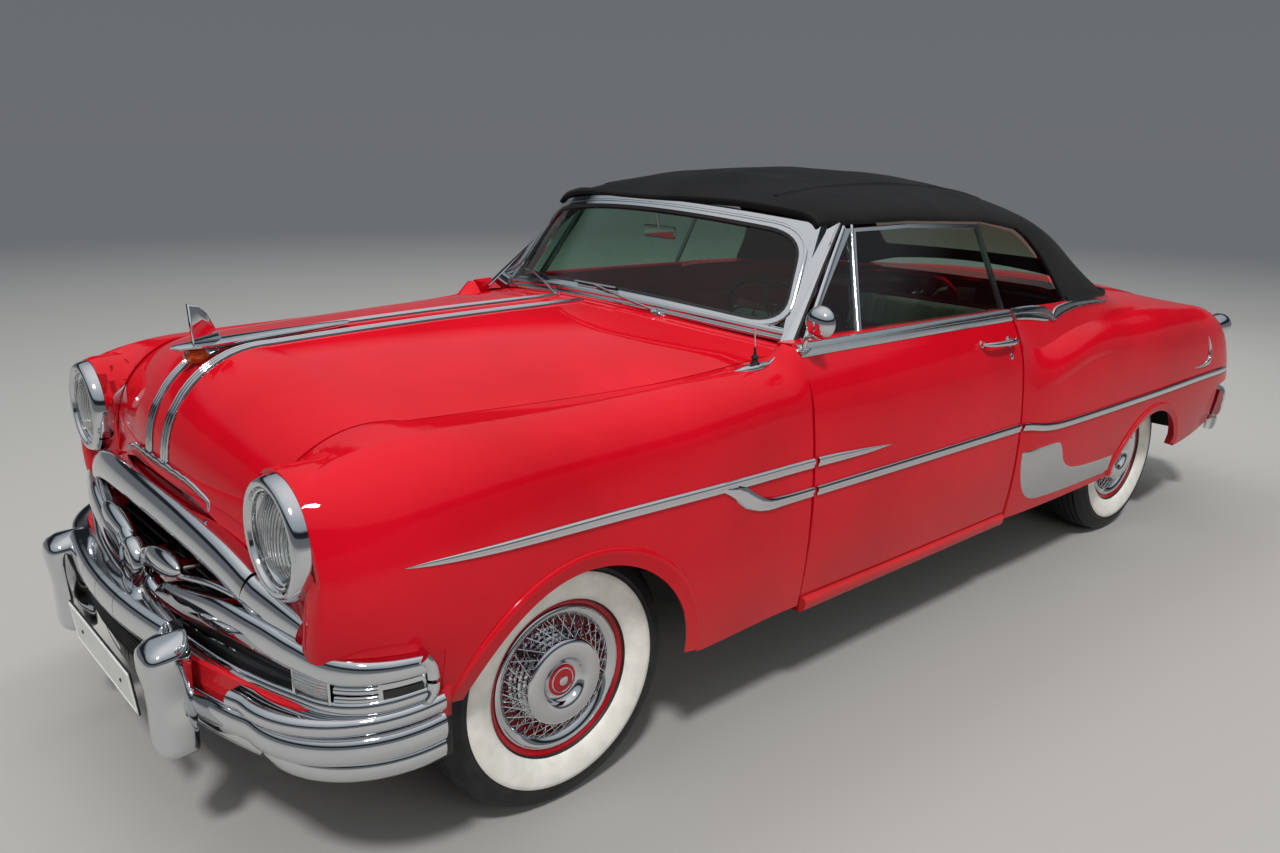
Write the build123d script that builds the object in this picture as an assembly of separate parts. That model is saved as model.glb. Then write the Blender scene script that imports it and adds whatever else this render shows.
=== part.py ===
from build123d import *
from math import cos, radians, sin, sqrt
import os

os.makedirs("parts", exist_ok=True)

# A two-door convertible of the early 1950s with its fabric top up.
# Millimetres. +X is forward, +Y is the car's left, +Z is up, and z = 0 is the ground.
# The origin lies on the ground, midway between the bumpers and between the sides.

# Driving dimensions
LENGTH = 5150
WIDTH = 1946
HEIGHT = 1578
TYRE_RADIUS = 355
TYRE_WIDTH = 186
RIM_RADIUS = 192
TRACK_FRONT = 1486
TRACK_REAR = 1500
PANEL = 18
QUARTER_WALL = 40
DOOR_DEPTH = 110
DOOR_TOP_WIDTH = 52
SEAT_GAP = 0.3
GAP = 12
FABRIC = 12
GLASS = 7

# The section tables below are drawn on a car of these overall sizes and follow the driving ones
DRAWN_LENGTH = 5150
DRAWN_WIDTH = 1946
DRAWN_HEIGHT = 1578


def along(x):
    return x * LENGTH / DRAWN_LENGTH


def across(y):
    return y * WIDTH / DRAWN_WIDTH


def high(z):
    return z * HEIGHT / DRAWN_HEIGHT


FRONT_AXLE_X = along(1695)
REAR_AXLE_X = along(-1404)
AXLE_Z = TYRE_RADIUS
ARCH_RADIUS = TYRE_RADIUS + 32
FRONT_WHEEL_Y = TRACK_FRONT / 2
REAR_WHEEL_Y = TRACK_REAR / 2
KINGPIN_Y = FRONT_WHEEL_Y - 98
DOOR_FRONT_X = along(872)
DOOR_REAR_X = along(-262)
FENDER_REAR_X = DOOR_FRONT_X + GAP
QUARTER_FRONT_X = DOOR_REAR_X - GAP - 1
SILL_Z = high(345)
DOOR_LOW_Z = high(372)
TRUNK_FRONT_X = along(-1480)
TRUNK_HALF_WIDTH = across(560)
SHEET = 8


def yz(x):
    return Plane(origin=(x, 0, 0), x_dir=(0, 1, 0), z_dir=(1, 0, 0))


def xz(y):
    return Plane(origin=(0, y, 0), x_dir=(1, 0, 0), z_dir=(0, -1, 0))


def xy(z):
    return Plane(origin=(0, 0, z))


def chain(points, kinds):
    """Edges through the points: each l is a line to the next one, each a is an arc over two."""
    edges = []
    i = 0
    for kind in kinds:
        if kind == "l":
            edges.append(Edge.make_line(points[i], points[i + 1]))
            i += 1
        else:
            edges.append(Edge.make_three_point_arc(points[i], points[i + 1], points[i + 2]))
            i += 2
    return edges


def ring(plane, points, kinds):
    """A closed wire on the plane, its last edge a line back to the start."""
    flat = [(u, v, 0) for u, v in points]
    edges = chain(flat, kinds)
    edges.append(Edge.make_line(flat[-1], flat[0]))
    return plane.location * Wire(edges)


def offset_chain(points, depth):
    """The same chain moved by depth to the left of its direction."""
    moved = []
    last = len(points) - 1
    for i, (u, v) in enumerate(points):
        before = points[max(i - 1, 0)]
        after = points[min(i + 1, last)]
        du = after[0] - before[0]
        dv = after[1] - before[1]
        size = sqrt(du * du + dv * dv)
        moved.append((u - dv / size * depth, v + du / size * depth))
    return moved


def wall_ring(plane, points, kinds, depth):
    """A closed wire around a wall that follows the chain, depth thick to its left."""
    outer = [(u, v, 0) for u, v in points]
    inner = [(u, v, 0) for u, v in reversed(offset_chain(points, depth))]
    edges = chain(outer, kinds)
    edges.append(Edge.make_line(outer[-1], inner[0]))
    edges += chain(inner, kinds[::-1])
    edges.append(Edge.make_line(inner[-1], outer[0]))
    return plane.location * Wire(edges)


def skin(rings, ruled=False):
    return Part() + Solid.make_loft(rings, ruled)


def prism(plane, points, kinds, depth):
    """The outline on the plane, drawn out by depth to both sides of it."""
    face = Face(ring(plane, points, kinds))
    shift = plane.z_dir * depth
    return Part() + Solid.extrude(face.moved(Location(shift * -1)), shift * 2)


def block(x0, x1, y0, y1, z0, z1):
    place = Pos((x0 + x1) / 2, (y0 + y1) / 2, (z0 + z1) / 2)
    return place * Box(abs(x1 - x0), abs(y1 - y0), abs(z1 - z0))


def rod(start, end, radius):
    a = Vector(*start)
    b = Vector(*end)
    line = b - a
    return Part() + Solid.make_cylinder(radius, line.length, Plane(a, z_dir=line))


def turned(profile, kinds, x, y, z):
    """A ring turned about the Y axis through x, z: the profile holds (radius, y) points."""
    face = Face(ring(Plane(origin=(0, 0, 0), x_dir=(1, 0, 0), z_dir=(0, 0, 1)), profile, kinds))
    axis = Axis((0, 0, 0), (0, 1, 0))
    return Pos(x, y, z) * (Part() + revolve(face, axis))


def other_side(piece):
    return mirror(piece, about=Plane.XZ)


def largest(piece):
    return Part() + max(piece.solids(), key=lambda solid: solid.volume)


def both_sides(piece):
    return Part() + [piece, other_side(piece)]


# Body side
# Each section runs up the outside of the body: low edge, widest place, shoulder, crown, valley
# behind the crown and top edge. Columns: x, then y and z of each of the six.
SIDE_KINDS = "aal"
FENDER_SECTIONS = [
    (2335, 800, 560, 868, 760, 835, 900, 775, 985, 690, 1010, 520, 1000),
    (2200, 850, 500, 915, 760, 890, 905, 825, 1000, 740, 1036, 560, 1032),
    (1950, 895, 420, 938, 740, 915, 915, 850, 1018, 750, 1050, 600, 1045),
    (1500, 915, 345, 945, 680, 925, 920, 865, 1025, 770, 1056, 620, 1052),
    (1100, 915, 345, 943, 640, 925, 930, 885, 1025, 800, 1068, 660, 1066),
    (884, 912, 345, 940, 620, 925, 935, 900, 1015, 845, 1076, 700, 1090),
]
DOOR_SECTIONS = [
    (880, 912, 345, 940, 640, 925, 930, 906, 1005, 872, 1066, 822, 1124),
    (600, 916, 345, 944, 640, 928, 930, 910, 1002, 880, 1062, 838, 1127),
    (300, 918, 345, 946, 640, 930, 930, 912, 1000, 885, 1060, 850, 1124),
    (-275, 920, 345, 948, 640, 932, 925, 914, 995, 888, 1055, 852, 1115),
]
QUARTER_SECTIONS = [
    (-275, 920, 345, 948, 620, 932, 925, 914, 995, 888, 1055, 852, 1115),
    (-430, 930, 345, 962, 600, 955, 820, 938, 900, 898, 962, 855, 1112),
    (-720, 935, 345, 970, 620, 958, 880, 932, 965, 880, 1000, 850, 1105),
    (-1050, 935, 345, 970, 640, 956, 890, 920, 972, 866, 1008, 812, 1090),
    (-1230, 933, 345, 969, 645, 953, 890, 912, 972, 845, 1006, 742, 1076),
    (-1404, 930, 345, 968, 650, 950, 890, 905, 972, 820, 1003, 640, 1060),
    (-1900, 925, 360, 955, 650, 935, 860, 880, 945, 790, 968, 580, 995),
    (-2200, 905, 400, 932, 640, 912, 800, 868, 878, 800, 902, 575, 905),
    (-2340, 890, 430, 905, 590, 892, 690, 858, 745, 800, 765, 570, 780),
    (-2415, 872, 450, 880, 520, 872, 570, 850, 600, 800, 615, 565, 640),
]


def side_points(row):
    return [(across(row[i]), high(row[i + 1])) for i in range(1, 13, 2)]


def body_side(rows, depth):
    rings = []
    for row in rows:
        rings.append(wall_ring(yz(along(row[0])), side_points(row), SIDE_KINDS, depth))
    return skin(rings)


# Hood and trunk lid
# Each section runs along the car at one distance from its middle: back edge, middle, brow,
# turn and lower front edge of the hood, or front edge to lower back edge of the lid.
# Columns: y, then x and z of each of the five.
LID_KINDS = "aa"
HOOD_SECTIONS = [
    (0, 1010, 1168, 1600, 1164, 2080, 1150, 2262, 1090, 2362, 860),
    (250, 985, 1157, 1600, 1150, 2070, 1134, 2250, 1072, 2345, 860),
    (450, 925, 1136, 1600, 1120, 2050, 1100, 2225, 1040, 2318, 865),
    (620, 850, 1112, 1600, 1072, 2020, 1060, 2190, 1010, 2280, 875),
    (780, 780, 1084, 1600, 1010, 1990, 1000, 2140, 965, 2230, 880),
]
TRUNK_SECTIONS = [
    (0, -1480, 1076, -1800, 1050, -2080, 1000, -2330, 860, -2440, 650),
    (300, -1480, 1071, -1800, 1043, -2070, 992, -2315, 850, -2425, 650),
    (580, -1480, 1056, -1790, 1018, -2040, 965, -2280, 820, -2390, 650),
]
# Plan of the hood's edge: x, y
HOOD_EDGE = [(795, 752), (1300, 715), (2000, 645), (2200, 585), (2420, 500)]


def lid_skin(rows, depth):
    full = [row for row in reversed(rows) if row[0] > 0]
    rings = []
    for row in full + rows:
        side = -1 if row in full and len(rings) < len(full) else 1
        points = [(along(row[i]), high(row[i + 1])) for i in range(1, 11, 2)]
        rings.append(wall_ring(xz(across(side * row[0])), points, LID_KINDS, depth))
    return skin(rings)


def hood_plan(spread):
    """Plan of the hood drawn up through the car, its sides moved out by spread."""
    left = [(along(x), across(y) + spread) for x, y in HOOD_EDGE]
    right = [(x, -y) for x, y in reversed(left)]
    points = left + right
    return prism(xy(high(900)), points, "l" * (len(points) - 1), high(700))


def hood():
    return lid_skin(HOOD_SECTIONS, -PANEL) & hood_plan(0)


def trunk_lid():
    plan = block(along(-2600), TRUNK_FRONT_X, -TRUNK_HALF_WIDTH, TRUNK_HALF_WIDTH, 0, high(1300))
    return lid_skin(TRUNK_SECTIONS, PANEL) & plan


# Headlamp: y, z of its middle, x of the front of its glass
LAMP_Y = across(696)
LAMP_Z = high(867)
LAMP_X = along(2352)
LAMP_GLASS_RADIUS = 92
LAMP_RIM_RADIUS = 138


def front_fender():
    shell = body_side(FENDER_SECTIONS, PANEL)
    shell -= hood_plan(GAP)
    arch = rod((FRONT_AXLE_X, 0, AXLE_Z), (FRONT_AXLE_X, WIDTH, AXLE_Z), ARCH_RADIUS)
    front = block(along(2085), along(2600), 0, WIDTH, 0, high(612))
    ahead = block(LAMP_X - 20, along(2600), 0, WIDTH, 0, HEIGHT)
    bucket = rod((LAMP_X - 170, LAMP_Y, LAMP_Z), (LAMP_X - 20, LAMP_Y, LAMP_Z), LAMP_RIM_RADIUS)
    hollow = rod((LAMP_X - 155, LAMP_Y, LAMP_Z), (LAMP_X, LAMP_Y, LAMP_Z), LAMP_RIM_RADIUS - 14)
    return shell + bucket - hollow - arch - front - ahead


def headlamp():
    """A deep round rim with a domed glass in one piece, seated in the fender's bucket."""
    rim = rod((LAMP_X - 95, LAMP_Y, LAMP_Z), (LAMP_X - 18, LAMP_Y, LAMP_Z), LAMP_RIM_RADIUS - 15)
    lip = rod((LAMP_X - 19.7, LAMP_Y, LAMP_Z), (LAMP_X - 4, LAMP_Y, LAMP_Z), LAMP_RIM_RADIUS)
    glass = rod((LAMP_X - 10, LAMP_Y, LAMP_Z), (LAMP_X + 6, LAMP_Y, LAMP_Z), LAMP_GLASS_RADIUS)
    return rim + lip + glass


# Nose panel and grille
GRILLE_Y = across(770)


def nose_panel():
    """The painted panel across the front under the hood, bowed forward, with the grille's mouth."""
    rows = ((320, 2280, 2190), (600, 2335, 2230), (845, 2345, 2240))
    rings = []
    for z, x_mid, x_end in rows:
        outer = [(along(x_end), -GRILLE_Y), (along(x_mid), 0), (along(x_end), GRILLE_Y)]
        rings.append(wall_ring(xy(high(z)), outer, "a", PANEL))
    panel = skin(rings, True)
    mouth = block(along(2100), along(2500), -across(560), across(560), high(470), high(700))
    lamps = rod((along(2100), LAMP_Y, LAMP_Z), (along(2500), LAMP_Y, LAMP_Z), LAMP_RIM_RADIUS + 12)
    slot = front_iron(SEAT_GAP)
    return panel - mouth - lamps - other_side(lamps) - slot - other_side(slot)


# Crown bar over the grille, dropping to each side under the headlamps: y, x, z of its front
CROWN_BAR = [(0, 2425, 862), (250, 2418, 846), (450, 2402, 790), (600, 2378, 712), (780, 2345, 672)]
CROWN_TALL = 62
CROWN_DEEP = 52


def crown_bar():
    rings = []
    mirrored = [(-y, x, z) for y, x, z in reversed(CROWN_BAR[1:])]
    for y, x, z in mirrored + CROWN_BAR:
        u = along(x)
        v = high(z)
        points = [(u - CROWN_DEEP, v - CROWN_TALL / 2), (u - 14, v - CROWN_TALL / 2), (u, v),
                  (u - 14, v + CROWN_TALL / 2), (u - CROWN_DEEP, v + CROWN_TALL / 2)]
        rings.append(ring(xz(across(y)), points, "lal"))
    return skin(rings)


def grille():
    """Middle bar and lower bar, bowed in plan and joined by posts that stand on the nose panel."""
    bars = []
    # Columns: z, x at the middle, x at the end, bar height, bar depth
    for z, x_mid, x_end, tall, deep in ((668, 2440, 2385, 56, 50), (560, 2420, 2365, 44, 40)):
        outer = [(along(x_end), -across(600)), (along(x_mid), 0), (along(x_end), across(600))]
        low = wall_ring(xy(high(z) - tall / 2), outer, "a", deep)
        top = wall_ring(xy(high(z) + tall / 2), outer, "a", deep)
        bars.append(skin([low, top], True))
    post = block(along(2278), along(2366), across(562), across(596), high(540), high(735))
    stem = block(along(2388), along(2412), -60, 60, high(547), high(850))
    joined = Part() + bars + [post, other_side(post), stem]
    return joined - crown_bar() - nose_panel()


def side_wing():
    """The chrome wing below each headlamp that carries the parking lamp around the corner."""
    outer = [(along(2392), across(618)), (along(2330), across(815)), (along(2170), across(940))]
    low = wall_ring(xy(high(614)), outer, "a", 60)
    top = wall_ring(xy(high(636)), outer, "a", 60)
    return largest(skin([low, top], True) - front_fender() - nose_panel())


# Bumpers
# Columns: z, x at the middle, x and y where the bar begins to turn, x and y of the corner,
# x and y of the end
FRONT_BUMPER_ROWS = [
    (322, 2480, 2385, 640, 2290, 860, 2100, 935),
    (460, 2540, 2445, 640, 2340, 872, 2110, 955),
    (598, 2500, 2405, 640, 2305, 864, 2110, 945),
]
REAR_BUMPER_ROWS = [
    (330, -2495, -2425, 640, -2350, 850, -2180, 935),
    (440, -2545, -2475, 640, -2390, 866, -2190, 955),
    (560, -2510, -2440, 640, -2360, 856, -2190, 945),
]
BUMPER_DEPTH = 45
GUARD_Y = across(415)
IRON_Y = (across(395), across(440))
IRON_Z = (high(370), high(430))
REAR_IRON_Y = (across(480), across(520))
REAR_IRON_Z = (high(440), high(500))


def bumper(rows, depth):
    rings = []
    for z, x_mid, x_turn, y_turn, x_corner, y_corner, x_end, y_end in rows:
        left = [(x_turn, y_turn), (x_corner, y_corner), (x_end, y_end)]
        right = [(x, -y) for x, y in reversed(left)]
        points = [(along(x), across(y)) for x, y in right + [(x_mid, 0)] + left]
        rings.append(wall_ring(xy(high(z)), points, "aaa", depth))
    return skin(rings, True)


def bumper_guard(x_front, deep, z0, z1):
    return block(x_front - deep, x_front, GUARD_Y - 45, GUARD_Y + 45, high(z0), high(z1))


def front_iron(spread):
    """The bar that carries the front bumper from the end of the frame rail."""
    return block(along(2200), along(2450), IRON_Y[0] - spread, IRON_Y[1] + spread,
                 IRON_Z[0] - spread, IRON_Z[1] + spread)


def rear_iron(spread):
    return block(along(-2460), along(-2300), REAR_IRON_Y[0] - spread, REAR_IRON_Y[1] + spread,
                 REAR_IRON_Z[0] - spread, REAR_IRON_Z[1] + spread)


def front_bumper():
    bar = bumper(FRONT_BUMPER_ROWS, BUMPER_DEPTH)
    guard = bumper_guard(along(2575), 110, 285, 585)
    iron = front_iron(0)
    return bar + guard + other_side(guard) + iron + other_side(iron)


def rear_bumper():
    bar = bumper(REAR_BUMPER_ROWS, -BUMPER_DEPTH)
    guard = bumper_guard(along(-2575) + 100, 100, 300, 575)
    iron = rear_iron(0)
    return bar + guard + other_side(guard) + iron + other_side(iron)


# Doors and rear quarters
HINGE_X = FENDER_REAR_X
HINGE_Y = across(940) - 6


def door_ring(row):
    outer = side_points(row)
    outer[0] = (outer[0][0] - 1, DOOR_LOW_Z)
    inner_y = across(948) - DOOR_DEPTH
    points = outer + [(outer[-1][0] - DOOR_TOP_WIDTH, outer[-1][1] - 4), (inner_y, DOOR_LOW_Z)]
    return ring(yz(along(row[0])), points, SIDE_KINDS + "ll")


def door():
    """A slab as thick as the whole door, its rear edge rounded about the hinge line."""
    slab = skin([door_ring(row) for row in DOOR_SECTIONS])
    slab &= block(DOOR_REAR_X - 1, DOOR_FRONT_X, 0, WIDTH, 0, HEIGHT)
    return slab & rod((HINGE_X, HINGE_Y, 0), (HINGE_X, HINGE_Y, HEIGHT), HINGE_X - DOOR_REAR_X)


def striker():
    """The latch striker on the body, just behind the door's rear edge."""
    return block(QUARTER_FRONT_X, DOOR_REAR_X - SEAT_GAP, HINGE_Y - 10, HINGE_Y + 5,
                 high(660), high(730))


def rear_quarter():
    shell = body_side(QUARTER_SECTIONS, QUARTER_WALL)
    shell &= block(along(-2600), QUARTER_FRONT_X, across(TRUNK_HALF_WIDTH + 9), WIDTH, 0, HEIGHT)
    # The opening covers the top of the tyre
    span = TYRE_RADIUS * 0.95
    behind = block(along(-2600), along(-2150), 0, WIDTH, 0, high(575))
    mouth = [(REAR_AXLE_X + span, 0), (REAR_AXLE_X + span, high(400)),
             (REAR_AXLE_X, high(612)), (REAR_AXLE_X - span, high(400)), (REAR_AXLE_X - span, 0)]
    shell -= prism(xz(WIDTH / 2), mouth, "lal", WIDTH / 4)
    return shell - behind + striker()


WELL_Y = REAR_WHEEL_Y - TYRE_WIDTH / 2 - 60


def wheel_well():
    """A half drum over the rear wheel, its inner side closed by a wall."""
    y_in = WELL_Y
    y_out = across(870)
    r = TYRE_RADIUS + 75
    centre = (REAR_AXLE_X, y_in, AXLE_Z)
    drum = rod(centre, (REAR_AXLE_X, y_out, AXLE_Z), r)
    hollow = rod((REAR_AXLE_X, y_in + SHEET, AXLE_Z), (REAR_AXLE_X, y_out, AXLE_Z), r - SHEET)
    return (drum - hollow) - block(REAR_AXLE_X - r, REAR_AXLE_X + r, 0, WIDTH, -HEIGHT, AXLE_Z + 60)


# Half plan of the deck between the fabric top and the trunk lid: x, y
DECK_EDGE = [(-1470, 606), (-1400, 640), (-1230, 742), (-1050, 812), (-880, 826), (-1150, 500)]


def rear_deck():
    """The panel between the foot of the fabric top and the trunk lid."""
    rings = []
    for y, z_front, z_back in ((-830, 1092, 1046), (-400, 1096, 1068), (0, 1098, 1075),
                               (400, 1096, 1068), (830, 1092, 1046)):
        points = [(along(-1474), high(z_back)), (along(-880), high(z_front))]
        rings.append(wall_ring(xz(across(y)), points, "l", -PANEL))
    left = [(along(x), across(y)) for x, y in DECK_EDGE]
    right = [(x, -y) for x, y in reversed(left)]
    plan = prism(xy(high(1000)), left + right, "l" * 11, high(300))
    quarter = rear_quarter()
    return (skin(rings) & plan) - quarter - other_side(quarter)


def tail_panel():
    rings = []
    for z, x_mid, x_end in ((420, -2400, -2345), (634, -2432, -2375)):
        outer = [(along(x_end), across(770)), (along(x_mid), 0), (along(x_end), -across(770))]
        rings.append(wall_ring(xy(high(z)), outer, "a", PANEL))
    slot = rear_iron(SEAT_GAP)
    quarter = rear_quarter()
    panel = skin(rings, True) - quarter - other_side(quarter) - slot - other_side(slot)
    latch = block(along(-2431), along(-2418), -30, 30, high(625), high(662))
    return panel + (latch - Pos(0, 0, -SEAT_GAP) * trunk_lid())


# Windshield
# The glass is bent in plan: columns z, x at the middle, bend radius, y where the arc ends
SHIELD_ROWS = [(1060, 1037, 1276, 860), (1500, 712, 1074, 760)]
# Front view of the glass: y, z of its lower corner and upper corner, z at the middle
SHIELD_LOW = (700, 1138, 1198)
SHIELD_TOP = (624, 1405, 1458)
FRAME_BAND = 26


def shield_arc(row, shift):
    z, x_mid, radius, y_end = row
    drop = radius - sqrt(radius * radius - y_end * y_end)
    x_end = along(x_mid - drop) + shift
    return [(x_end, -across(y_end)), (along(x_mid) + shift, 0), (x_end, across(y_end))]


def shield_skin(shift, depth):
    rings = [wall_ring(xy(high(row[0])), shield_arc(row, shift), "a", depth) for row in SHIELD_ROWS]
    return skin(rings, True)


def ahead_of_shield(shift):
    """Everything in front of the windshield's bent face, moved forward by shift."""
    rings = []
    for row in SHIELD_ROWS:
        points = shield_arc(row, shift) + [(along(1500), WIDTH), (along(1500), -WIDTH)]
        rings.append(ring(xy(high(row[0])), points, "all"))
    return skin(rings, True)


def shield_outline(grow):
    low_y, low_z, low_mid = SHIELD_LOW
    top_y, top_z, top_mid = SHIELD_TOP
    points = [(-across(low_y) - grow, high(low_z) - grow), (0, high(low_mid) - grow),
              (across(low_y) + grow, high(low_z) - grow), (across(top_y) + grow, high(top_z) + grow),
              (0, high(top_mid) + grow), (-across(top_y) - grow, high(top_z) + grow)]
    return prism(yz(along(700)), points, "ala", along(600))


def windshield_glass():
    return shield_skin(-9, GLASS) & shield_outline(-1)


# Plan of the windshield pillar at its foot and at its head: x, y
PILLAR_FOOT = [(735, 712), (850, 755), (828, 768), (712, 722)]
PILLAR_HEAD = [(522, 634), (486, 662), (466, 660), (500, 630)]


def pillar():
    rings = []
    for z, plan in ((1095, PILLAR_FOOT), (1436, PILLAR_HEAD)):
        points = [(along(x), across(y)) for x, y in plan]
        rings.append(ring(xy(high(z)), points, "lll"))
    return skin(rings, True)


def windshield_frame():
    band = shield_skin(0, 28) & shield_outline(FRAME_BAND)
    band += both_sides(pillar())
    return largest(band - shield_outline(0) - cowl())


def cowl():
    """Cowl top under the windshield, firewall and the posts that carry the doors."""
    rings = []
    depths = (110, 105, 90, 60, 45)
    strips = [(row[0], row[1], row[2], deep) for row, deep in zip(HOOD_SECTIONS, depths)]
    mirrored = [(-y, x, z, deep) for y, x, z, deep in reversed(strips[1:])]
    for y, x, z, deep in mirrored + strips:
        front = (along(x) - GAP, high(z))
        back = (front[0] - deep, front[1] - 4)
        rings.append(wall_ring(xz(across(y)), [back, front], "l", -PANEL))
    top = skin(rings) - shield_skin(0.3, 29)
    mid = across(250)
    wide = across(700)
    wall = block(along(880), along(900), -wide, wide, OVER_RAIL, high(1035))
    wall += block(along(880), along(900), -mid, mid, high(1035), high(1141))
    wall -= tunnel_space(along(870), along(910))
    post = block(along(690), along(860), across(690), across(752), DOOR_LOW_Z - 8, high(1060))
    side = block(along(878), along(900), across(690), across(815), DOOR_LOW_Z - 8, high(1035))
    side += block(along(850), along(900), across(690), across(752), DOOR_LOW_Z - 8, high(1035))
    flange = block(along(886), along(900), across(800), across(935), high(420), high(990))
    flange = largest(flange - front_fender())
    left = post + side + flange
    return top + wall + left + other_side(left)


# Fabric top
# Sections across the car: half width and height of the foot, of the side edge, height of the
# middle. Columns: x, y_foot, z_foot, y_edge, z_edge, z_mid
TOP_SECTIONS = [
    (800, 812, 1108, 618, 1444, 1466),
    (500, 838, 1108, 655, 1460, 1548),
    (150, 852, 1108, 682, 1462, 1578),
    (-300, 856, 1106, 684, 1440, 1566),
    (-700, 849, 1104, 668, 1388, 1520),
    (-1000, 822, 1092, 622, 1300, 1430),
    (-1230, 744, 1079, 535, 1198, 1290),
    (-1390, 560, 1072, 400, 1104, 1122),
]
FOOT_DROP = 30


def top_solid(inset):
    rings = []
    for x, y_foot, z_foot, y_edge, z_edge, z_mid in TOP_SECTIONS:
        low = (across(y_foot) - inset, high(z_foot) - FOOT_DROP)
        foot = (across(y_foot) - inset, high(z_foot))
        edge = (across(y_edge) - inset, high(z_edge) - inset)
        left = [low, foot, edge]
        right = [(-y, z) for y, z in reversed(left)]
        rings.append(ring(yz(along(x)), left + [(0, high(z_mid) - inset)] + right, "llall"))
    return skin(rings)


# Side view of the window opening over the door and the quarter: x, z
WINDOW_SILL_Z = 1134
WINDOW_TOP = [(640, 1426), (150, 1430), (-300, 1408), (-520, 1372)]
WINDOW_BACK = [(-640, 1270), (-675, 1060)]


def window_cut(grow):
    points = [(along(1000), high(1000)), (along(1000), high(1426) + grow)]
    points += [(along(x), high(z) + grow) for x, z in WINDOW_TOP]
    points += [(along(x) - grow, high(z)) for x, z in WINDOW_BACK]
    points += [(along(-675) - grow, high(1000))]
    return prism(xz(0), points, "lllllal", WIDTH)


def rear_window_outline(grow):
    y, z_low, z_top = across(430) + grow, high(1175) - grow, high(1395) + grow
    points = [(-y, z_low), (0, z_low - high(12)), (y, z_low), (y * 0.86, z_top),
              (0, z_top + high(14)), (-y * 0.86, z_top)]
    return prism(yz(along(-1300)), points, "ala", along(450))


def convertible_top():
    shell = top_solid(0) - top_solid(FABRIC)
    ahead = ahead_of_shield(8) + block(along(730), along(1200), -WIDTH, WIDTH, 0, 2 * HEIGHT)
    shell -= ahead
    shell -= shield_outline(FRAME_BAND + 1) & block(along(400), along(1200), -WIDTH, WIDTH, 0, HEIGHT)
    shell -= window_cut(0)
    shell -= block(along(-700), along(1000), -WIDTH, WIDTH, 0, high(1135))
    shell -= rear_window_outline(0)
    quarter = rear_quarter()
    shell -= Part() + [rear_deck(), quarter, other_side(quarter)]
    shell -= windshield_frame()
    return largest(shell)


def rear_window():
    band = top_solid(3) - top_solid(8)
    back = block(along(-1450), along(-850), -WIDTH, WIDTH, 0, HEIGHT)
    return band & rear_window_outline(-0.5) & back


# Side windows: each is a slab that leans with the fabric's side
def side_slab(inset, depth):
    """The leaning band between the foot and the edge of the top, along the side windows."""
    rings = []
    for x, y_foot, z_foot, y_edge, z_edge, z_mid in TOP_SECTIONS[:5]:
        low = (across(y_foot) - inset, high(z_foot) - FOOT_DROP)
        foot = (across(y_foot) - inset, high(z_foot))
        edge = (across(y_edge) - inset, high(z_edge))
        outer = [low, foot, edge]
        inner = [(y - depth, z) for y, z in reversed(outer)]
        rings.append(ring(yz(along(x)), outer + inner, "lllll"))
    return skin(rings)


VENT_POST = ((560, 1100), (425, 1424))
DIVIDER = ((-258, 1100), (-276, 1402))


def door_window_outline(inset):
    """Side view of the door's glass with the vent window, inside its frame."""
    points = [(808, 1100), (462, 1420), (150, 1422), DIVIDER[1], DIVIDER[0]]
    mid_x = 250
    mid_z = 1280
    shrunk = []
    for x, z in points:
        dx = -inset if x > mid_x else inset
        dz = -inset if z > mid_z else 0
        shrunk.append((along(x) + dx, high(z) + dz))
    return prism(xz(across(750)), shrunk, "llll", across(250))


def door_window():
    return side_slab(14, GLASS) & door_window_outline(16) - door()


def door_window_frame():
    """Bright frame around the vent window and along the edges of the door's glass."""
    slab = side_slab(8, 20)
    rim = (slab & door_window_outline(4)) - door_window_outline(15)
    (x_low, z_low), (x_top, z_top) = VENT_POST
    post_points = [(along(x_low) - 12, high(z_low)), (along(x_low) + 12, high(z_low)),
                   (along(x_top) + 12, high(z_top)), (along(x_top) - 12, high(z_top))]
    post = slab & prism(xz(across(750)), post_points, "lll", across(250)) & door_window_outline(4)
    return rim + post - door_window() - door()


def quarter_window():
    (x_low, z_low), (x_top, z_top) = DIVIDER
    points = [(x_low - GAP, z_low - 12), (x_top - GAP, z_top), (-300, 1400), (-505, 1362),
              (-622, 1265), (-664, 1088)]
    outline = prism(xz(across(750)), [(along(x), high(z)) for x, z in points], "llla",
                    across(250))
    return largest((side_slab(12, 10) & outline) - rear_quarter())


def door_mirror():
    """Round mirror on a short arm, its foot on the top of the left door."""
    foot = rod((along(842), across(842), high(1070)), (along(842), across(842), high(1122)), 19)
    stem = rod((along(842), across(842), high(1112)), (along(856), across(898), high(1185)), 7)
    head = rod((along(840), across(903), high(1192)), (along(876), across(903), high(1192)), 48)
    return largest(foot - door()) + stem + head


# Under the body
RAIL_HALF = 45


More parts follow.
